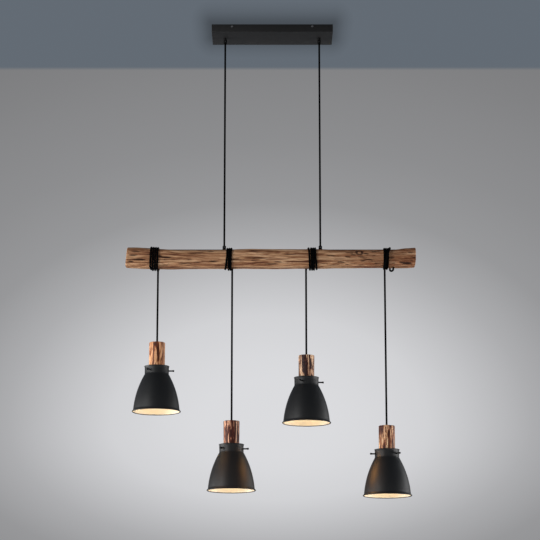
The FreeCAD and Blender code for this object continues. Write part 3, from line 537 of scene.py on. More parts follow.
# %% [markdown]
# ## A lathe made of nodes
#
# Shades, sleeves, globes and cord grips are all turned shapes: one outline swept round an axis. Modelling
# each by hand would repeat the same spin. Instead one Geometry Nodes tree takes an outline and a number
# of segments, and sweeps the outline along a circle of 1 m radius, so an outline point at
# `radius - 1` lands exactly at its radius. The result is turned into a plain mesh.

# %% The lathe tree
def new_tree(name, entries, result):
    """A geometry tree with these input sockets; returns it with its input and output nodes."""
    tree = bpy.data.node_groups.new(name, "GeometryNodeTree")
    for entry, kind in entries:
        tree.interface.new_socket(entry, in_out="INPUT", socket_type="NodeSocket" + kind)
    tree.interface.new_socket(result, in_out="OUTPUT", socket_type="NodeSocketGeometry")
    return tree, tree.nodes.new("NodeGroupInput"), tree.nodes.new("NodeGroupOutput")


def lathe_tree():
    tree, given, result = new_tree("lathe", (("Outline", "Geometry"), ("Segments", "Int"), ("Weld", "Float"),
                                             ("Finish", "Material")), "Turned")
    circle = add(tree, "GeometryNodeCurvePrimitiveCircle", "path round the axis", Radius=1.0)
    outline, sweep, weld, real, coat = (tree.nodes.new("GeometryNode" + kind) for kind in (
        "MeshToCurve", "CurveToMesh", "MergeByDistance", "RealizeInstances", "SetMaterial"))
    wire(tree, (given, "Outline", outline, "Mesh"), (given, "Segments", circle, "Resolution"),
         (circle, "Curve", sweep, "Curve"), (outline, "Curve", sweep, "Profile Curve"),
         (sweep, "Mesh", weld, "Geometry"), (given, "Weld", weld, "Distance"),
         (weld, "Geometry", real, "Geometry"), (real, "Geometry", coat, "Geometry"),
         (given, "Finish", coat, "Material"), (coat, "Geometry", result, "Turned"))
    return tree


LATHE = lathe_tree()
print("lathe nodes:", len(LATHE.nodes))

# %% Run a node tree and keep its mesh
def final_mesh(made):
    """An object's mesh with its modifiers applied; the object itself goes."""
    mesh = bpy.data.meshes.new_from_object(made.evaluated_get(bpy.context.evaluated_depsgraph_get()))
    bpy.data.objects.remove(made)
    return mesh


def run_tree(tree, start_mesh, settings):
    """Evaluate a geometry tree on a mesh with these named settings, and return a plain mesh."""
    holder = shown("holder", start_mesh)
    modifier = holder.modifiers.new("tree", "NODES")
    modifier.node_group = tree
    for item in tree.interface.items_tree:
        if item.in_out == "INPUT" and item.name in settings:
            modifier[item.identifier] = settings[item.name]
    return final_mesh(holder)


def saved(work, mesh, outwards=True):
    """Write a bmesh to a mesh; the faces of a closed one are made to point out."""
    if outwards:
        bmesh.ops.recalc_face_normals(work, faces=work.faces)
        if work.calc_volume(signed=True) < 0:
            bmesh.ops.reverse_faces(work, faces=work.faces)
    work.to_mesh(mesh)
    work.free()
    return mesh


def bridge(work, ring, following):
    """Faces between two rings of as many points."""
    count = len(ring)
    return [work.faces.new((ring[k], ring[(k + 1) % count], following[(k + 1) % count], following[k]))
            for k in range(count)]


def piece(name, mesh, body, finish=None, smooth_below=35.0):
    """A finished piece of the lamp: it rides on a body, where one is given, and takes the finish given."""
    mesh.name = name
    if finish is not None:
        mesh.materials.clear()
        mesh.materials.append(finish)
    mesh.shade_smooth()
    mesh.set_sharp_from_angle(angle=math.radians(smooth_below))
    made = shown(name, mesh)
    if body:
        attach(made, body)
    return made


def turned(outline, place=(0, 0, 0), segments=64, closed=True, finish=None):
    """A lathe-turned mesh from (radius, height) points, standing on place."""
    count = len(outline)
    profile = bpy.data.meshes.new("outline")
    last = count if closed else count - 1
    profile.from_pydata([(radius - 1.0, -height, 0) for radius, height in outline],
                        [(index, (index + 1) % count) for index in range(last)], [])
    mesh = run_tree(LATHE, profile, {"Segments": segments, "Weld": 1e-5, "Finish": finish})
    mesh.transform(Matrix.Translation(place))
    work = bmesh.new()
    work.from_mesh(mesh)
    bmesh.ops.remove_doubles(work, verts=work.verts, dist=1e-7)
    return saved(work, mesh)


def joined(meshes):
    """Several meshes as one."""
    work = bmesh.new()
    for mesh in meshes:
        work.from_mesh(mesh)
    result = saved(work, bpy.data.meshes.new("joined"), outwards=False)
    for material in meshes[0].materials:
        result.materials.append(material)
    return result


def arc(centre, radius, start, end, count):
    """Points (x, y) on an arc, angles in degrees."""
    angles = [math.radians(start + (end - start) * index / (count - 1)) for index in range(count)]
    return [(centre[0] + radius * math.cos(a), centre[1] + radius * math.sin(a)) for a in angles]


print("lathe ready")

# %% [markdown]
# ## A tree that drives screws
#
# The lamp has four kinds of screw in four sizes. They share one tree: a knob, a shank and an optional
# cross-cut are made once from the named sizes, set on every point of a small point mesh, and turned to
# that point's `aim`. Real geometry comes out, one mesh for each body.

# %% The screw tree
SCREW_SIZES = ("Head radius", "Head height", "Head top", "Shank radius", "Shank length", "Cross")


def screw_tree():
    tree, given, result = new_tree("screws", (("Points", "Geometry"), *((size, "Float") for size in SCREW_SIZES),
                                              ("Sides", "Int"), ("Finish", "Material")), "Screws")
    head, lowered, cut, whole, real, coat = (tree.nodes.new("GeometryNode" + kind) for kind in (
        "MeshCone", "Transform", "MeshBoolean", "JoinGeometry", "RealizeInstances", "SetMaterial"))
    shank = add(tree, "GeometryNodeMeshCylinder", Vertices=20)
    down = tree.nodes.new("ShaderNodeCombineXYZ")
    link(tree, calc(tree, "MULTIPLY", given.outputs["Shank length"], -0.5), down.inputs["Z"])
    cut.operation = "DIFFERENCE"
    wire(tree, (given, "Sides", head, "Vertices"), (given, "Head radius", head, "Radius Bottom"),
         (given, "Head top", head, "Radius Top"), (given, "Head height", head, "Depth"),
         (given, "Shank radius", shank, "Radius"), (given, "Shank length", shank, "Depth"),
         (shank, "Mesh", lowered, "Geometry"), (down, "Vector", lowered, "Translation"),
         (head, "Mesh", cut, "Mesh 1"))
    for size in ((1.0, 0.28, 0.5), (0.28, 1.0, 0.5)):
        bar, lifted = (tree.nodes.new("GeometryNode" + kind) for kind in ("MeshCube", "Transform"))
        scaled_size = tree.nodes.new("ShaderNodeVectorMath")
        scaled_size.operation = "SCALE"
        scaled_size.inputs[0].default_value = size
        lift = tree.nodes.new("ShaderNodeCombineXYZ")
        wire(tree, (given, "Cross", scaled_size, "Scale"), (scaled_size, "Vector", bar, "Size"),
             (given, "Head height", lift, "Z"), (bar, "Mesh", lifted, "Geometry"),
             (lift, "Vector", lifted, "Translation"), (lifted, "Geometry", cut, "Mesh 2"))
    aim = add(tree, "GeometryNodeInputNamedAttribute", Name="aim")
    aim.data_type = "FLOAT_VECTOR"
    turn = tree.nodes.new("FunctionNodeAlignEulerToVector")
    turn.axis = "Z"
    stand = add(tree, "GeometryNodeInstanceOnPoints", "one at each point", Scale=(MM, MM, MM))
    wire(tree, (cut, "Mesh", whole, "Geometry"), (lowered, "Geometry", whole, "Geometry"),
         (aim, "Attribute", turn, "Vector"), (given, "Points", stand, "Points"),
         (whole, "Geometry", stand, "Instance"), (turn, "Rotation", stand, "Rotation"),
         (stand, "Instances", real, "Geometry"), (real, "Geometry", coat, "Geometry"),
         (given, "Finish", coat, "Material"), (coat, "Geometry", result, "Screws"))
    return tree


SCREWS = screw_tree()


def drive_screws(spots, finish, sizes, sides=28):
    """Screws at (place, aim) spots; sizes in millimetres, as named above. The shank runs back against the aim."""
    points = bpy.data.meshes.new("spots")
    points.from_pydata([place for place, _ in spots], [], [])
    aims = points.attributes.new("aim", "FLOAT_VECTOR", "POINT")
    for index, (_, aim) in enumerate(spots):
        aims.data[index].vector = aim
    return run_tree(SCREWS, points, {**dict(zip(SCREW_SIZES, sizes)), "Sides": sides, "Finish": finish})


print("screw nodes:", len(SCREWS.nodes))

# %% [markdown]
# ## Ceiling canopy
#
# The cover is a folded steel tray. A box without its top gets slightly rounded folds from a bevel, and its
# sheet thickness from Solidify, so that the walls are real. The bracket, terminal block, nuts and cord
# ends inside it keep their CAD shapes and get finishes.

# %% Canopy cover
FOLD, SHEET_STEEL = 1.3 * MM, 1.0 * MM


def canopy_cover():
    low, high = (Vector(corner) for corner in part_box("canopy_cover"))
    work = bmesh.new()
    outline = ((low.x, low.y), (high.x, low.y), (high.x, high.y), (low.x, high.y))
    rings = [[work.verts.new((x, y, z)) for x, y in outline] for z in (low.z, high.z)]
    work.faces.new(rings[0][::-1])
    bridge(work, *rings)
    folds = [edge for edge in work.edges if not edge.is_boundary]
    bmesh.ops.bevel(work, geom=folds, offset=FOLD, segments=4, profile=0.5, affect="EDGES")
    shell = shown("cover", saved(work, bpy.data.meshes.new("cover"), outwards=False))
    sheet = shell.modifiers.new("sheet", "SOLIDIFY")
    sheet.thickness, sheet.offset, sheet.use_even_offset = SHEET_STEEL, -1, True
    cover = piece("canopy_tray", final_mesh(shell), "canopy", CANOPY_COAT, 30)
    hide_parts("canopy_cover")
    print("canopy tray faces:", len(cover.data.polygons))


canopy_cover()

# %% Canopy side screws
def side_screws():
    low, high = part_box("canopy_side_screws")
    middle_z = (low[2] + high[2]) / 2
    head_radius, head_height = 3.5, 2.2
    x = high[0] - head_radius * MM
    wall = high[1] - head_height * MM
    spots = [((sx * x, sy * wall, middle_z), (0, sy, 0)) for sx in (-1, 1) for sy in (-1, 1)]
    mesh = drive_screws(spots, DULL_STEEL, (head_radius, head_height, 2.5, 1.95, 7.0, 3.4))
    screws = piece("side_screws", mesh, "canopy", DULL_STEEL, 40)
    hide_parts("canopy_side_screws")
    print("side screws:", len(spots))


side_screws()

# %% [markdown]
# ## Cord grips
#
# A grip is a turned black tube with a threaded stud. Its mouth is flared, so that the cord can swing
# without a sharp edge. A tiny grub screw in its side locks the cord.

# %% Grips on canopy and beam
GRIP, BORE = 5.5, 3.3  # radii in millimetres


def grip_outline(length):
    """(radius, height) in millimetres, with the stud below zero and the mouth at the top."""
    threads = [(radius, height) for step_up in range(5) for radius, height in
               ((4.55, -4.6 + step_up * 0.9), (4.9, -4.2 + step_up * 0.9))]
    ring = length * 0.3
    body = [(GRIP - 0.4, 0), (GRIP, 0.4), (GRIP, ring), (GRIP - 0.25, ring + 0.3), (GRIP - 0.25, ring + 0.9),
            (GRIP, ring + 1.2), (GRIP, length - 0.9)]
    rim = arc((GRIP - 0.7, length - 0.7), 0.7, 0, 90, 5)
    inside = [(4.4, length - 0.2), (4.0, length - 1.2), (BORE, length - 2.8), (BORE, -5.0), (4.5, -5.0)]
    return [(r * MM, z * MM) for r, z in threads + body + rim + inside]


def cord_grips(name, node, body, wall_z, length, downwards):
    turn = Matrix.Rotation(math.pi, 4, "X") if downwards else Matrix()
    meshes, spots = [], []
    for x in (-SUSPENSION_X, SUSPENSION_X):
        mesh = turned(grip_outline(length), segments=40, finish=BLACK_PLASTIC)
        mesh.transform(Matrix.Translation((x, 0, wall_z)) @ turn)
        meshes.append(mesh)
        height = (-length if downwards else length) * 0.62 * MM
        spots.append(((x, -(GRIP - 0.3) * MM, wall_z + height), (0, -1, 0)))
    grips = piece(name, joined(meshes), body, BLACK_PLASTIC, 40)
    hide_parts(node)
    mesh = drive_screws(spots, DULL_STEEL, (1.2, 0.35, 1.1, 1.0, 1.6, 1.1), sides=16)
    piece(name + "_grub_screws", mesh, body, DULL_STEEL, 40)


RAIL_SUNK = 2.6 * MM
RAIL_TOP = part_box("beam_top_rail")[1][2] - RAIL_SUNK
CANOPY_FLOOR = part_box("canopy_cover")[0][2]
grips_low, grips_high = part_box("canopy_cord_grips")
SUSPENSION_X = grips_high[0] - GRIP * MM
cord_grips("canopy_grips", "canopy_cord_grips", "canopy", CANOPY_FLOOR, (CANOPY_FLOOR - grips_low[2]) / MM, True)
cord_grips("beam_grips", "beam_cord_grips", "beam", RAIL_TOP,
           (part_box("beam_cord_grips")[1][2] - RAIL_TOP) / MM, False)
print("grips at x =", round(SUSPENSION_X, 4))

# %% [markdown]
# ## The beam
#
# A weathered beam has no straight line in it, yet it follows a rule: a rounded square whose sides wave
# slowly along the length, with lengthwise grooves, a few deep cracks and a knot. So the mesh is a grid
# round the beam, and each point's distance from the middle comes from a formula. The winding of the
# cords asks the same formula where the surface is.

# %% The beam's surface rule
BEAM_LOW, BEAM_HIGH = (Vector(corner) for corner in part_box("wood_beam"))
BEAM_Z = (BEAM_LOW.z + BEAM_HIGH.z) / 2
HALF = (BEAM_HIGH.z - BEAM_LOW.z) / 2
CORNER = 18 * MM


def rounded_square(half, corner, across, up):
    """Distance from the middle to a rounded square in the direction (across, up)."""
    across, up = abs(across), abs(up)
    reach = half / max(across, up)
    if min(across, up) * reach <= half - corner:
        return reach
    centre = half - corner
    along = (across + up) * centre
    return along + math.sqrt(along * along - (2 * centre * centre - corner * corner))


def slow_wave(x, across, up):
    """The beam's slow unevenness: thicker at its left end, waving by a millimetre or two elsewhere."""
    swell = 3.4 * MM * math.exp(-(((x - BEAM_LOW.x) / 0.075) ** 2)) * (0.4 + 0.6 * max(0.0, up))
    end_swell = 1.2 * MM * math.exp(-(((x - BEAM_HIGH.x) / 0.06) ** 2)) * max(0.0, up)
    wave = noise.noise(Vector((x * 7.0, across * 0.9, up * 0.9 + 5.0))) * 1.9 * MM
    ripple = noise.noise(Vector((x * 22.0, across * 1.6 + 3.0, up * 1.6))) * 0.8 * MM
    return swell + end_swell + wave + ripple - 0.5 * MM


# x in metres, then the shifts of the top and the bottom edge in millimetres; up is positive.
LEVELS = [(-0.454, 1.2, 4.5), (-0.430, 1.2, 3.0), (-0.400, 0.4, 1.2), (-0.360, -1.2, 0.4), (-0.300, -3.2, 0.0),
          (-0.150, -3.2, 0.4), (-0.080, -1.8, 0.9), (0.150, -1.8, 1.2), (0.200, -3.0, 3.0), (0.380, -3.0, 3.6),
          (0.420, 0.8, 4.2), (0.446, 2.2, 6.0)]


def off_level(x, height):
    """How far the surface lies above its even place, at this x and height over the middle line."""
    for (x_a, top_a, low_a), (x_b, top_b, low_b) in zip(LEVELS, LEVELS[1:]):
        if x <= x_b:
            break
    share = min(1.0, max(0.0, (x - x_a) / (x_b - x_a)))
    share *= share * (3 - 2 * share)
    top, low = top_a + (top_b - top_a) * share, low_a + (low_b - low_a) * share
    return (low + (top - low) * (height / HALF + 1) / 2) * MM


def beam_reach(x, across, up, out=0.0):
    """Distance from the beam's middle line to its smoothed surface, plus out."""
    return rounded_square(HALF + out, CORNER + out, across, up) + slow_wave(x, across, up)


print("beam half size:", round(HALF, 4))

# %% Cracks, knot and grooves
# Each crack, in millimetres: x of its middle, height over the middle line, half length, half width, depth.
CRACKS = [
    (-331, 0, 21, 2.4, 4), (-349, 4, 10, 1.9, 3), (-184, -13, 18, 2, 3.2), (-412, -10, 22, 2.4, 4),
    (-432, 4, 16, 1.8, 2.6), (-192, 21, 14, 1.5, 2.2), (-425, 17, 18, 1.7, 2.2), (-438, -18, 10, 1.8, 2.4),
    (-55, 22, 19, 1.9, 2.6), (-40, -3, 30, 1.3, 2), (55, 10, 28, 1.2, 1.8), (182, 6, 16, 1.4, 2.2),
    (235, 1, 11, 1.6, 2.8), (213, -18, 13, 1.5, 2.4), (252, 8, 10, 1.6, 2.2), (292, 12, 10, 1.6, 2.2),
    (276, 1, 13, 1.4, 2), (318, 19, 13, 1.8, 2.6), (300, -10, 22, 1.3, 1.8), (420, -24, 18, 3.4, 3.6),
    (404, -20, 11, 1.8, 2.4), (430, 12, 12, 1.2, 1.6), (-270, -19, 26, 1.4, 1.8), (-240, 16, 30, 1.3, 1.6),
    (-120, -6, 20, 1.3, 1.8), (0, -22, 24, 1.4, 1.8),
]
KNOT = Vector((0.271, 0.0155))


def crack_depth(x, height, face):
    """How deep the cracks of the front and back faces are here: from 0 to 1 for the painted shade in their colour,
    and in metres.
    """
    dark, depth = 0.0, 0.0
    for number, crack in enumerate(CRACKS):
        middle, up, half_long, half_wide, deep = (size * MM for size in crack)
        if face > 0:
            middle, up = -middle * 0.9 + 0.03, -up
        along = (x - middle) / half_long
        if abs(along) >= 1.0:
            continue
        wander = noise.noise(Vector((x * 55.0, number * 3.7, face))) * 0.0016
        across = abs(height - up - wander) / (half_wide * (1.0 - along * along) + 0.0002)
        if across < 2.0:
            share = max(0.0, 1.0 - across / 2.0) ** 1.5 * (1.0 - along ** 4)
            # This darkness becomes the beam's colour: painted shade in the crack.
            dark = max(dark, share * 1.25)
            depth = max(depth, share * deep)
    return dark, depth


def knot_shape(x, height, face):
    """The knot on the front: a raised eye inside a dark ring."""
    if face > 0:
        return 0.0, 0.0
    away = math.hypot((x - KNOT.x) * 0.78, (height - KNOT.y) * 1.15)
    wobble = 1.0 + 0.22 * noise.noise(Vector((x * 160, height * 160, 2.0)))
    ring = math.exp(-(((away * wobble - 0.0075) / 0.0029) ** 2))
    pupil = math.exp(-((math.hypot((x - KNOT.x - 0.0075) * 0.9, height - KNOT.y + 0.001) / 0.0026) ** 2))
    dark = max(ring * 0.9, pupil)
    lift = 0.0016 * math.exp(-((away / 0.016) ** 2)) - 0.0022 * dark
    return dark, lift


print("cracks:", len(CRACKS), "knot at", tuple(round(v, 3) for v in KNOT))

# %% Grow the beam
AROUND, ALONG = 150, 520
END_CUT = 3 * MM  # how much of each end is rounded off
END_ROUND = 1.6 * MM
LEAN_REACH = 0.12


def grooves(x, across, up):
    """Lengthwise grooves between the fibres."""
    coarse = noise.noise(Vector((x * 5.0, across * 9.0, up * 9.0 + 20.0)))
    fine = noise.noise(Vector((x * 16.0, across * 26.0, up * 26.0)))
    return (abs(coarse) * -1.1 + fine * 0.34 + 0.25) * MM


def end_slant(height, left):
    """How far the saw cut leans: the left end's top is further right, the right end is nearly square."""
    return (height * 0.085 if left else -abs(min(0.0, height + 0.012)) * 0.10)


def grow_beam():
    work = bmesh.new()
    # The crack layer holds how much the colour darkens: painted shade in cracks, and the knot's and end grain's own
    # dark wood.
    deep_layer = work.verts.layers.float.new("crack")
    rings = []
    for step_along in range(ALONG + 1):
        share = step_along / ALONG
        x = BEAM_LOW.x + (BEAM_HIGH.x - BEAM_LOW.x) * share
        from_end = min(x - BEAM_LOW.x, BEAM_HIGH.x - x)
        ease = 1.0 - END_ROUND / HALF * max(0.0, 1.0 - from_end / END_CUT) ** 2
        ring = []
        for index in range(AROUND):
            turn = 2 * math.pi * index / AROUND
            across, up = math.sin(turn), math.cos(turn)
            reach = beam_reach(x, across, up)
            height = up * reach
            dark, depth = 0.0, 0.0
            if abs(across) > 0.6:
                dark, depth = crack_depth(x, height, across)
                knot_dark, knot_lift = knot_shape(x, height, across)
                dark, depth = max(dark, knot_dark), depth - knot_lift
            reach = (reach + grooves(x, across, up) - depth) * ease
            lean = end_slant(height, x < 0) * max(0.0, 1.0 - from_end / LEAN_REACH)
            level = off_level(x, up * reach)
            vertex = work.verts.new((x + lean, across * reach, BEAM_Z + up * reach + level))
            vertex[deep_layer] = dark
            ring.append(vertex)
        rings.append(ring)
    for ring, following in zip(rings, rings[1:]):
        bridge(work, ring, following)
    for ring, sign in ((rings[0], -1), (rings[-1], 1)):
        close_end(work, ring, sign, deep_layer)
    return saved(work, bpy.data.meshes.new("beam"))


def close_end(work, ring, sign, deep_layer):
    """Fill a saw-cut end with shrinking rings, roughened like end grain."""
    middle = sum((vertex.co for vertex in ring), Vector()) / len(ring)
    outer = ring
    for share in (0.94, 0.8, 0.62, 0.44, 0.26, 0.1):
        inner = []
        for vertex in ring:
            spot = middle.lerp(vertex.co, share)
            rings_of_age = math.sin((spot - middle).length * 1400.0)
            spot.x -= sign * (0.0006 + 0.0003 * rings_of_age
                              + 0.0006 * noise.noise(Vector((0.0, spot.y * 130, spot.z * 130))))
            made = work.verts.new(spot)
            made[deep_layer] = max(0.0, 0.25 * rings_of_age)
            inner.append(made)
        bridge(work, outer, inner)
        outer = inner
    work.faces.new(outer)


beam = piece("rustic_beam", grow_beam(), "beam", RUSTIC, 60)
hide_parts("wood_beam")
print("beam faces:", len(beam.data.polygons))

# %% [markdown]
# ## Rail on the beam's top
#
# The steel rail lies in a shallow recess. From above it shows as a black strip with pairs of flat screw
# heads. The strip is a bevelled bar, sunk a little because the beam's top dips there; the screws come
# from the tree.

# %% Rail and its screws
RAIL_COLUMNS = (-0.39, -0.25, -0.06, 0.06, 0.25, 0.38)


def bevelled_bar(low, high, bevel):
    work = bmesh.new()
    bmesh.ops.create_cube(work, size=1.0)
    bmesh.ops.scale(work, vec=high - low, verts=work.verts)
    bmesh.ops.translate(work, vec=(high + low) / 2, verts=work.verts)
    bmesh.ops.bevel(work, geom=work.edges[:], offset=bevel, segments=3, profile=0.5, affect="EDGES")
    return saved(work, bpy.data.meshes.new("bar"), outwards=False)


def rail_and_screws():
    sunk = Vector((0, 0, RAIL_SUNK))
    low, high = (Vector(corner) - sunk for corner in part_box("beam_top_rail"))
    rail = piece("top_rail", bevelled_bar(low, high, 0.5 * MM), "beam", BLACK_COAT)
    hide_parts("beam_top_rail")
    radius = 3.5
    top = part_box("rail_screws")[1]
    spots = [((x, side * (top[1] - radius * MM), top[2] - RAIL_SUNK - 0.1 * MM), (0, 0, 1))
             for x in RAIL_COLUMNS for side in (-1, 1)]
    mesh = drive_screws(spots, ZINC, (radius, 0.5, 3.1, 1.7, 18.0, 3.2))
    screws = piece("rail_wood_screws", mesh, "beam", ZINC, 40)
    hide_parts("rail_screws")
    print("rail screws:", len(spots))


rail_and_screws()

# %% [markdown]
# ## Cords
#
# Two cords carry the beam and four hang from it. Each pendant cord leaves a hole in the beam's underside,
# is wound round the beam three or four times and then hangs straight down to its sleeve. The suspension
# cords are taut. A cord's line is a NURBS spline through chosen points, and a round tube is laid along points
# read back from that spline.
#
# The turns are worked out by a loop from a short list of knots. Each knot says where the cord is round
# the beam (in degrees, 0 under the beam, 90 at the front and 180 on top), where it is along the beam, and
# how far it is lifted by the strands beneath it.

# %% Spline and tube
CORD_RADIUS = 3 * MM
CORD_DIAMETER = 2 * CORD_RADIUS
STRAIGHT = 6 * CORD_DIAMETER  # how far a cord runs straight from its exit


def cord_line(name, points):
    """The smooth line that a cord follows: points read from a NURBS spline."""
    curve = bpy.data.curves.new(name, "CURVE")
    curve.dimensions = "3D"
    curve.resolution_u = 6
    spline = curve.splines.new("NURBS")
    spline.points.add(len(points) - 1)
    for point, place in zip(spline.points, points):
        point.co = (*place, 1.0)
    spline.order_u = 3
    spline.use_endpoint_u = True
    mesh = final_mesh(shown(name, curve))
    line = [vertex.co.copy() for vertex in mesh.vertices]
    bpy.data.meshes.remove(mesh)
    return line


def cord_tube(name, line, radius=CORD_RADIUS, sides=20, domed=False):
    """A closed round tube along a line, with a braid map: around in u, distance over girth in v.

    A domed tube also has a half ball on each end, so that it can turn inside a grip.
    """
    work = bmesh.new()
    braid = work.loops.layers.uv.new("braid")
    forward = (line[1] - line[0]).normalized()
    side = forward.orthogonal().normalized()
    radii = [radius] * len(line)
    if domed:
        dome = [(math.sin(a) * radius, math.cos(a) * radius) for a in map(math.radians, (78, 60, 40, 20))]
        first, last = -forward, (line[-1] - line[-2]).normalized()
        line = [line[0] + first * out for out, _ in dome] + line + [line[-1] + last * out for out, _ in dome[::-1]]
        radii = [r for _, r in dome] + radii + [r for _, r in dome[::-1]]
    circle = [(math.cos(2 * math.pi * k / sides), math.sin(2 * math.pi * k / sides)) for k in range(sides)]
    rings, distances = [], [0.0]
    for index, spot in enumerate(line):
        now = (line[min(len(line) - 1, index + 1)] - line[max(0, index - 1)]).normalized()
        side = (forward.rotation_difference(now) @ side)
        side = (side - now * side.dot(now)).normalized()
        forward, up = now, now.cross(side)
        if index:
            distances.append(distances[-1] + (spot - line[index - 1]).length)
        rings.append([work.verts.new(spot + (side * c + up * s) * radii[index]) for c, s in circle])
    girth = 2 * math.pi * radius
    for index, (ring, following) in enumerate(zip(rings, rings[1:])):
        for k, face in enumerate(bridge(work, ring, following)):
            spots = ((k, index), (k + 1, index), (k + 1, index + 1), (k, index + 1))
            for loop, (turn, row) in zip(face.loops, spots):
                loop[braid].uv = (turn / sides, distances[row] / girth)
    work.faces.new(rings[0][::-1])
    work.faces.new(rings[-1])
    return saved(work, bpy.data.meshes.new(name)), distances[-1]


print("cord radius:", CORD_RADIUS)

# %% The two suspension cords
def suspension_cord(side, sign):
    node = f"suspension_cord_{side}"
    low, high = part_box(node)
    x = sign * SUSPENSION_X
    heights = (high[2] - CORD_RADIUS, high[2] - STRAIGHT, low[2] + STRAIGHT, low[2] + CORD_RADIUS)
    points = [(x, 0, z) for z in heights]
    line = cord_line(node, points)
    mesh, length = cord_tube(node, line, domed=True)
    cord = piece(f"suspension_{side}", mesh, f"cord_{side}", TEXTILE)
    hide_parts(node)
    print(node, "length", round(length, 3))


suspension_cord("left", -1)
suspension_cord("right", 1)

# %% [markdown]
# ## Winding the pendant cords
#
# No two windings are alike. In three of them the turns lie side by side. The fourth is the loose one: its
# last turn crosses over the others on the front, and its entry hangs below the beam in a small loop.

# %% Where each winding runs
# Knots are (degrees round the beam, x, lift off the beam). The last one is under the beam by the drop.
WINDINGS = {
    1: {"entry": -0.3770, "knots": [(40, -0.3795, 0), (90, -0.3779, 0), (450, -0.3708, 0), (810, -0.3637, 0),
                                    (1170, -0.3566, 0), (1350, -0.3540, 0), (1422, -0.3558, 0)]},
    2: {"entry": -0.1465, "knots": [(40, -0.1440, 0), (90, -0.1408, 0), (450, -0.1345, 0), (810, -0.1283, 0),
                                    (990, -0.1258, 0), (1062, -0.1250, 0)]},
    3: {"entry": 0.1380, "knots": [(40, 0.1370, 0), (90, 0.1343, 0), (450, 0.1284, 0), (810, 0.1222, 0),
                                   (1170, 0.1152, 0), (1350, 0.1085, 0), (1422, 0.1050, 0)]},
    4: {"entry": 0.3770, "knots": [(-40, 0.3680, 0), (-90, 0.3660, 0), (-180, 0.3610, 0), (-540, 0.3548, 0),
                                   (-900, 0.3488, 0), (-1080, 0.3475, 0), (-1130, 0.3515, 0.0030),
                                   (-1165, 0.3565, 0.0062), (-1215, 0.3635, 0.0062), (-1250, 0.3668, 0.0015),
                                   (-1275, 0.3668, 0.0012), (-1300, 0.3650, 0.0040), (-1330, 0.3600, 0.0062),
                                   (-1395, 0.3490, 0.0062), (-1422, 0.3468, 0.0020)]},
}
STEPS_PER_TURN = 24


def wound_point(degrees, x, lift):
    """The cord's middle, lying on the beam's surface at this angle and place along it."""
    turn = math.radians(degrees)
    across, up = -math.sin(turn), -math.cos(turn)
    reach = beam_reach(x, across, up, CORD_RADIUS + 0.6 * MM) + lift
    return Vector((x, across * reach, BEAM_Z + up * reach + off_level(x, up * reach)))


def between(knots, degrees):
    """x and lift at this angle, eased between the two knots around it."""
    for (first, x_a, lift_a), (second, x_b, lift_b) in zip(knots, knots[1:]):
        if min(first, second) <= degrees <= max(first, second):
            share = (degrees - first) / (second - first)
            return x_a + (x_b - x_a) * share, lift_a + (lift_b - lift_a) * share * share * (3 - 2 * share)
    return knots[-1][1:]


def winding_points(number):
    """Control points of one pendant cord from its hole in the beam to its last turn, and the turning way."""
    knots, entry = WINDINGS[number]["knots"], WINDINGS[number]["entry"]
    hole = BEAM_Z - HALF
    turning = 1 if knots[-1][0] > knots[0][0] else -1
    loop = [(0, -3, -4.5)] if number != 4 else [(-0.5, -1, -5.5), (-4.5, -1, -9.0), (-10, 4, -7.0)]
    points = [Vector((entry, 0, hole)) + Vector(offset) * MM for offset in [(0, 0, 9), (0, 0, -1)] + loop]
    degrees = knots[0][0]
    while turning * (knots[-1][0] - degrees) > 0:
        points.append(wound_point(degrees, *between(knots, degrees)))
        degrees += turning * 360 / STEPS_PER_TURN
    return points, turning


print("windings:", {number: len(w["knots"]) for number, w in WINDINGS.items()})

# %% The four pendant cords
PIVOT_Z = -0.7871


def pendant_cord(number):
    points, turning = winding_points(number)
    last_wound = points[-1]
    low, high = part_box(f"cord_drop_{number}")
    x = (low[0] + high[0]) / 2
    points += [Vector((x, turning * 4 * MM, PIVOT_Z + 7.5 * MM)), Vector((x, 0, PIVOT_Z + 1.5 * MM)),
               Vector((x, 0, PIVOT_Z - STRAIGHT)), Vector((x, 0, low[2]))]
    line = cord_line(f"pendant_{number}_line", points)
    mesh, length = cord_tube(f"pendant_{number}_cord", line)
    cord = piece(f"pendant_cord_{number}", mesh, "", TEXTILE)
    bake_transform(cord)
    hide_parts(f"cord_wrap_{number}", f"cord_drop_{number}")
    print(f"pendant cord {number}: {length:.3f} m, ends beside x = {last_wound.x:.3f}")


for number in HEADS:
    pendant_cord(number)

# %% [markdown]
# ## The four heads
#
# Each head is one assembly: a wooden sleeve, a lampholder with its ring, a steel gallery cup, a bell
# shade held by three thumb screws, and the bulb. The heads are alike apart from height, the turn of their
# screws and the sleeve's length, so a loop makes them from one set of profiles. Places and heights come
# from the boxes of the CAD nodes, with the sleeves' and globes' widths; the rest is given in millimetres.

# %% Bell shade
SHEET = 0.9  # the bell's sheet, in millimetres like the rest of its outline


def circle_through(first, second, heading):
    """Centre and radius of the arc that leaves first along heading (degrees from +r) and meets second."""
    normal = (-math.sin(math.radians(heading)), math.cos(math.radians(heading)))
    dr, dz = second[0] - first[0], second[1] - first[1]
    radius = (dr * dr + dz * dz) / (2 * (dr * normal[0] + dz * normal[1]))
    return (first[0] + normal[0] * radius, first[1] + normal[1] * radius), radius


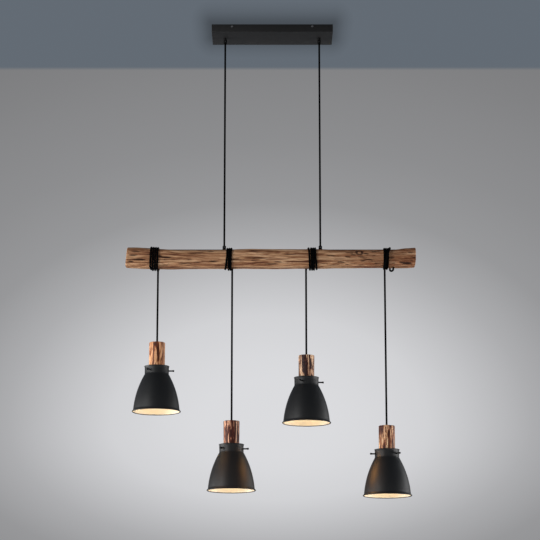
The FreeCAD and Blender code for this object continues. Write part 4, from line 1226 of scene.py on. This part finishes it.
def bell_line(height):
    """The bell's outer side: the flare above the rim's bead, then one long arc and a straight neck."""
    bell_start, neck_start = (71.3, 7.0), (37.2, 117.0)
    flare = [(74.4 - 3.1 * t, 3.2 + 3.8 * t * t) for t in (0.0, 0.2, 0.4, 0.6, 0.8, 1.0)]
    centre, radius = circle_through(bell_start, neck_start, 95.0)
    start = math.degrees(math.atan2(bell_start[1] - centre[1], bell_start[0] - centre[0]))
    end = math.degrees(math.atan2(neck_start[1] - centre[1], neck_start[0] - centre[0]))
    bell = arc(centre, abs(radius), start, end, 44)
    neck = [(37.2, 121.0), (37.2, 127.5), (37.2, 134.5), (37.45, 137.8), (38.0, 140.0), (38.8, height)]
    return flare[:-1], bell + neck


def offset_inwards(line, distance):
    """The same line moved in by the sheet's thickness."""
    moved = []
    for index, (r, z) in enumerate(line):
        before, after = line[max(0, index - 1)], line[min(len(line) - 1, index + 1)]
        tangent = Vector((after[0] - before[0], after[1] - before[1])).normalized()
        moved.append((r - tangent.y * distance, z + tangent.x * distance))
    return moved


def shade(number, x, rim):
    low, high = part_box(f"shade_{number}")
    height = (high[2] - low[2]) / MM
    flare, bell = bell_line(height)
    bead = arc((73.2, 1.8), 1.8, 45, -185, 14)
    outline = bell[::-1] + flare[::-1] + bead + offset_inwards(bell, SHEET)
    mesh = turned([(r * MM, z * MM) for r, z in outline], (x, 0, rim), segments=128)
    mesh.materials.clear()
    mesh.materials.append(BLACK_COAT)
    mesh.materials.append(WHITE_COAT)
    for face in mesh.polygons:
        inside = face.normal.x * (face.center.x - x) + face.normal.y * face.center.y < 0
        if inside and 4.0 < (face.center.z - rim) / MM < height - 1.0:
            face.material_index = 1
    made = piece(f"bell_shade_{number}", mesh, f"head_{number}", smooth_below=50)
    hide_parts(f"shade_{number}")


print("bell outline points:", len(bell_line(140)[1]))

# %% Wooden sleeve
BARK_FROM = 0.021


def sleeve(number, x):
    """A short piece of branch with a bore: a turned shape whose outside swells a little unevenly."""
    low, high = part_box(f"wood_sleeve_{number}")
    bottom, top = low[2], high[2]
    radius, bore, hole, edge = (high[0] - low[0]) / 2, 20.6 * MM, 4 * MM, 1.6 * MM
    side = [(radius, bottom + edge + (top - bottom - 2 * edge) * step_up / 24) for step_up in range(25)]
    outline = ([(bore, bottom), (radius - edge * 0.6, bottom)] + side
               + [(radius - edge * 0.4, top - edge * 0.3), (radius - edge, top), (radius * 0.7, top),
                  (radius * 0.4, top), (hole, top), (hole, top - 4 * MM), (bore, top - 4.4 * MM)])
    mesh = turned(outline, (x, 0, 0), segments=96)
    for vertex in mesh.vertices:
        across, deep = vertex.co.x - x, vertex.co.y
        away = math.hypot(across, deep)
        if away < BARK_FROM:
            continue
        spot = Vector((across * 55, deep * 55, vertex.co.z * 9 + number * 11))
        bark = noise.noise(spot) * 0.9 * MM + noise.noise(spot * 4.0) * 0.35 * MM - 0.1 * MM
        scale = (away + bark * min(1.0, (away - BARK_FROM) / 0.003)) / away
        vertex.co.x, vertex.co.y = x + across * scale, deep * scale
    made = piece(f"sleeve_{number}", mesh, f"head_{number}", STREAKED[number], 40)
    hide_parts(f"wood_sleeve_{number}")


print("sleeve rule ready")

# %% Globe, cap, holder and thumb screws
def globe(number, x):
    """An opal globe bulb with its neck."""
    low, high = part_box(f"bulb_globe_{number}")
    radius = (high[0] - low[0]) / 2
    centre = low[2] + radius
    neck_radius, top = 13 * MM, high[2]
    shoulder = math.degrees(math.asin(neck_radius / radius))
    ball = arc((0, centre), radius, -90, 90 - shoulder - 9, 40)
    blend_in = [(neck_radius * 1.12, centre + radius * 0.955), (neck_radius * 1.02, centre + radius * 1.03)]
    outline = ball + blend_in + [(neck_radius, top), (0.0, top)]
    mesh = turned([(max(0.0, r), z) for r, z in outline], (x, 0, 0), segments=72, closed=False)
    made = piece(f"globe_{number}", mesh, f"head_{number}", OPAL, 50)
    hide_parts(f"bulb_globe_{number}")


def thumb_screws(number, x):
    """Three thumb screws round the shade's neck."""
    low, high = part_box(f"thumb_screws_{number}")
    spots = []
    for index in range(3):
        turn = math.radians(SCREW_ANGLES[number]) + index * 2 * math.pi / 3
        aim = Vector((math.cos(turn), math.sin(turn), 0))
        spots.append((Vector((x, 0, (low[2] + high[2]) / 2)) + aim * SCREW_REACH, aim))
    mesh = drive_screws(spots, BLACK_PLASTIC, (2.9, 4.6, 2.75, 2.2, 16.0, 0.0), sides=24)
    made = piece(f"thumb_screw_set_{number}", mesh, f"head_{number}", BLACK_PLASTIC, 40)
    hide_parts(f"thumb_screws_{number}")


SCREW_ANGLES = {1: 0, 2: 110, 3: 7, 4: 75}
SCREW_REACH = 49 * MM  # from the cord to the foot of a screw's head

for number in HEADS:
    low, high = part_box(f"shade_{number}")
    middle = (low[0] + high[0]) / 2
    shade(number, middle, low[2])
    sleeve(number, middle)
    globe(number, middle)
    thumb_screws(number, middle)
print("heads made:", len(HEADS))

# %% [markdown]
# ## Finishes for the pieces that keep their CAD shape
#
# Bracket, terminal block, nuts, leads, holders and cups are exact already, so they only need a finish.

# %% Carry the finishes over
CARRIED = {
    "ceiling_bracket": ZINC, "mains_terminal_block": WHITE_PLASTIC, "canopy_grip_nuts": ZINC,
    "canopy_leads": TEXTILE, "beam_grip_nuts": ZINC, "splice_connectors": WHITE_PLASTIC,
    "beam_leads": TEXTILE, "lampholder": BLACK_PLASTIC, "holder_contacts": BRASS,
    "holder_ring": BLACK_PLASTIC, "gallery_cup": BLACK_COAT, "bulb_cap": NICKEL,
}


def carry_over():
    finished = []
    for made in scene.objects:
        if made.type != "MESH" or made.name not in frame["nodes"]:
            continue
        kind = made.name.rsplit("_", 1)[0] if made.name[-1].isdigit() else made.name
        finish = CARRIED.get(kind)
        if finish is not None:
            made.data.materials.clear()
            made.data.materials.append(finish)
            finished.append(made.name)
    print("finished CAD nodes:", len(finished))


carry_over()
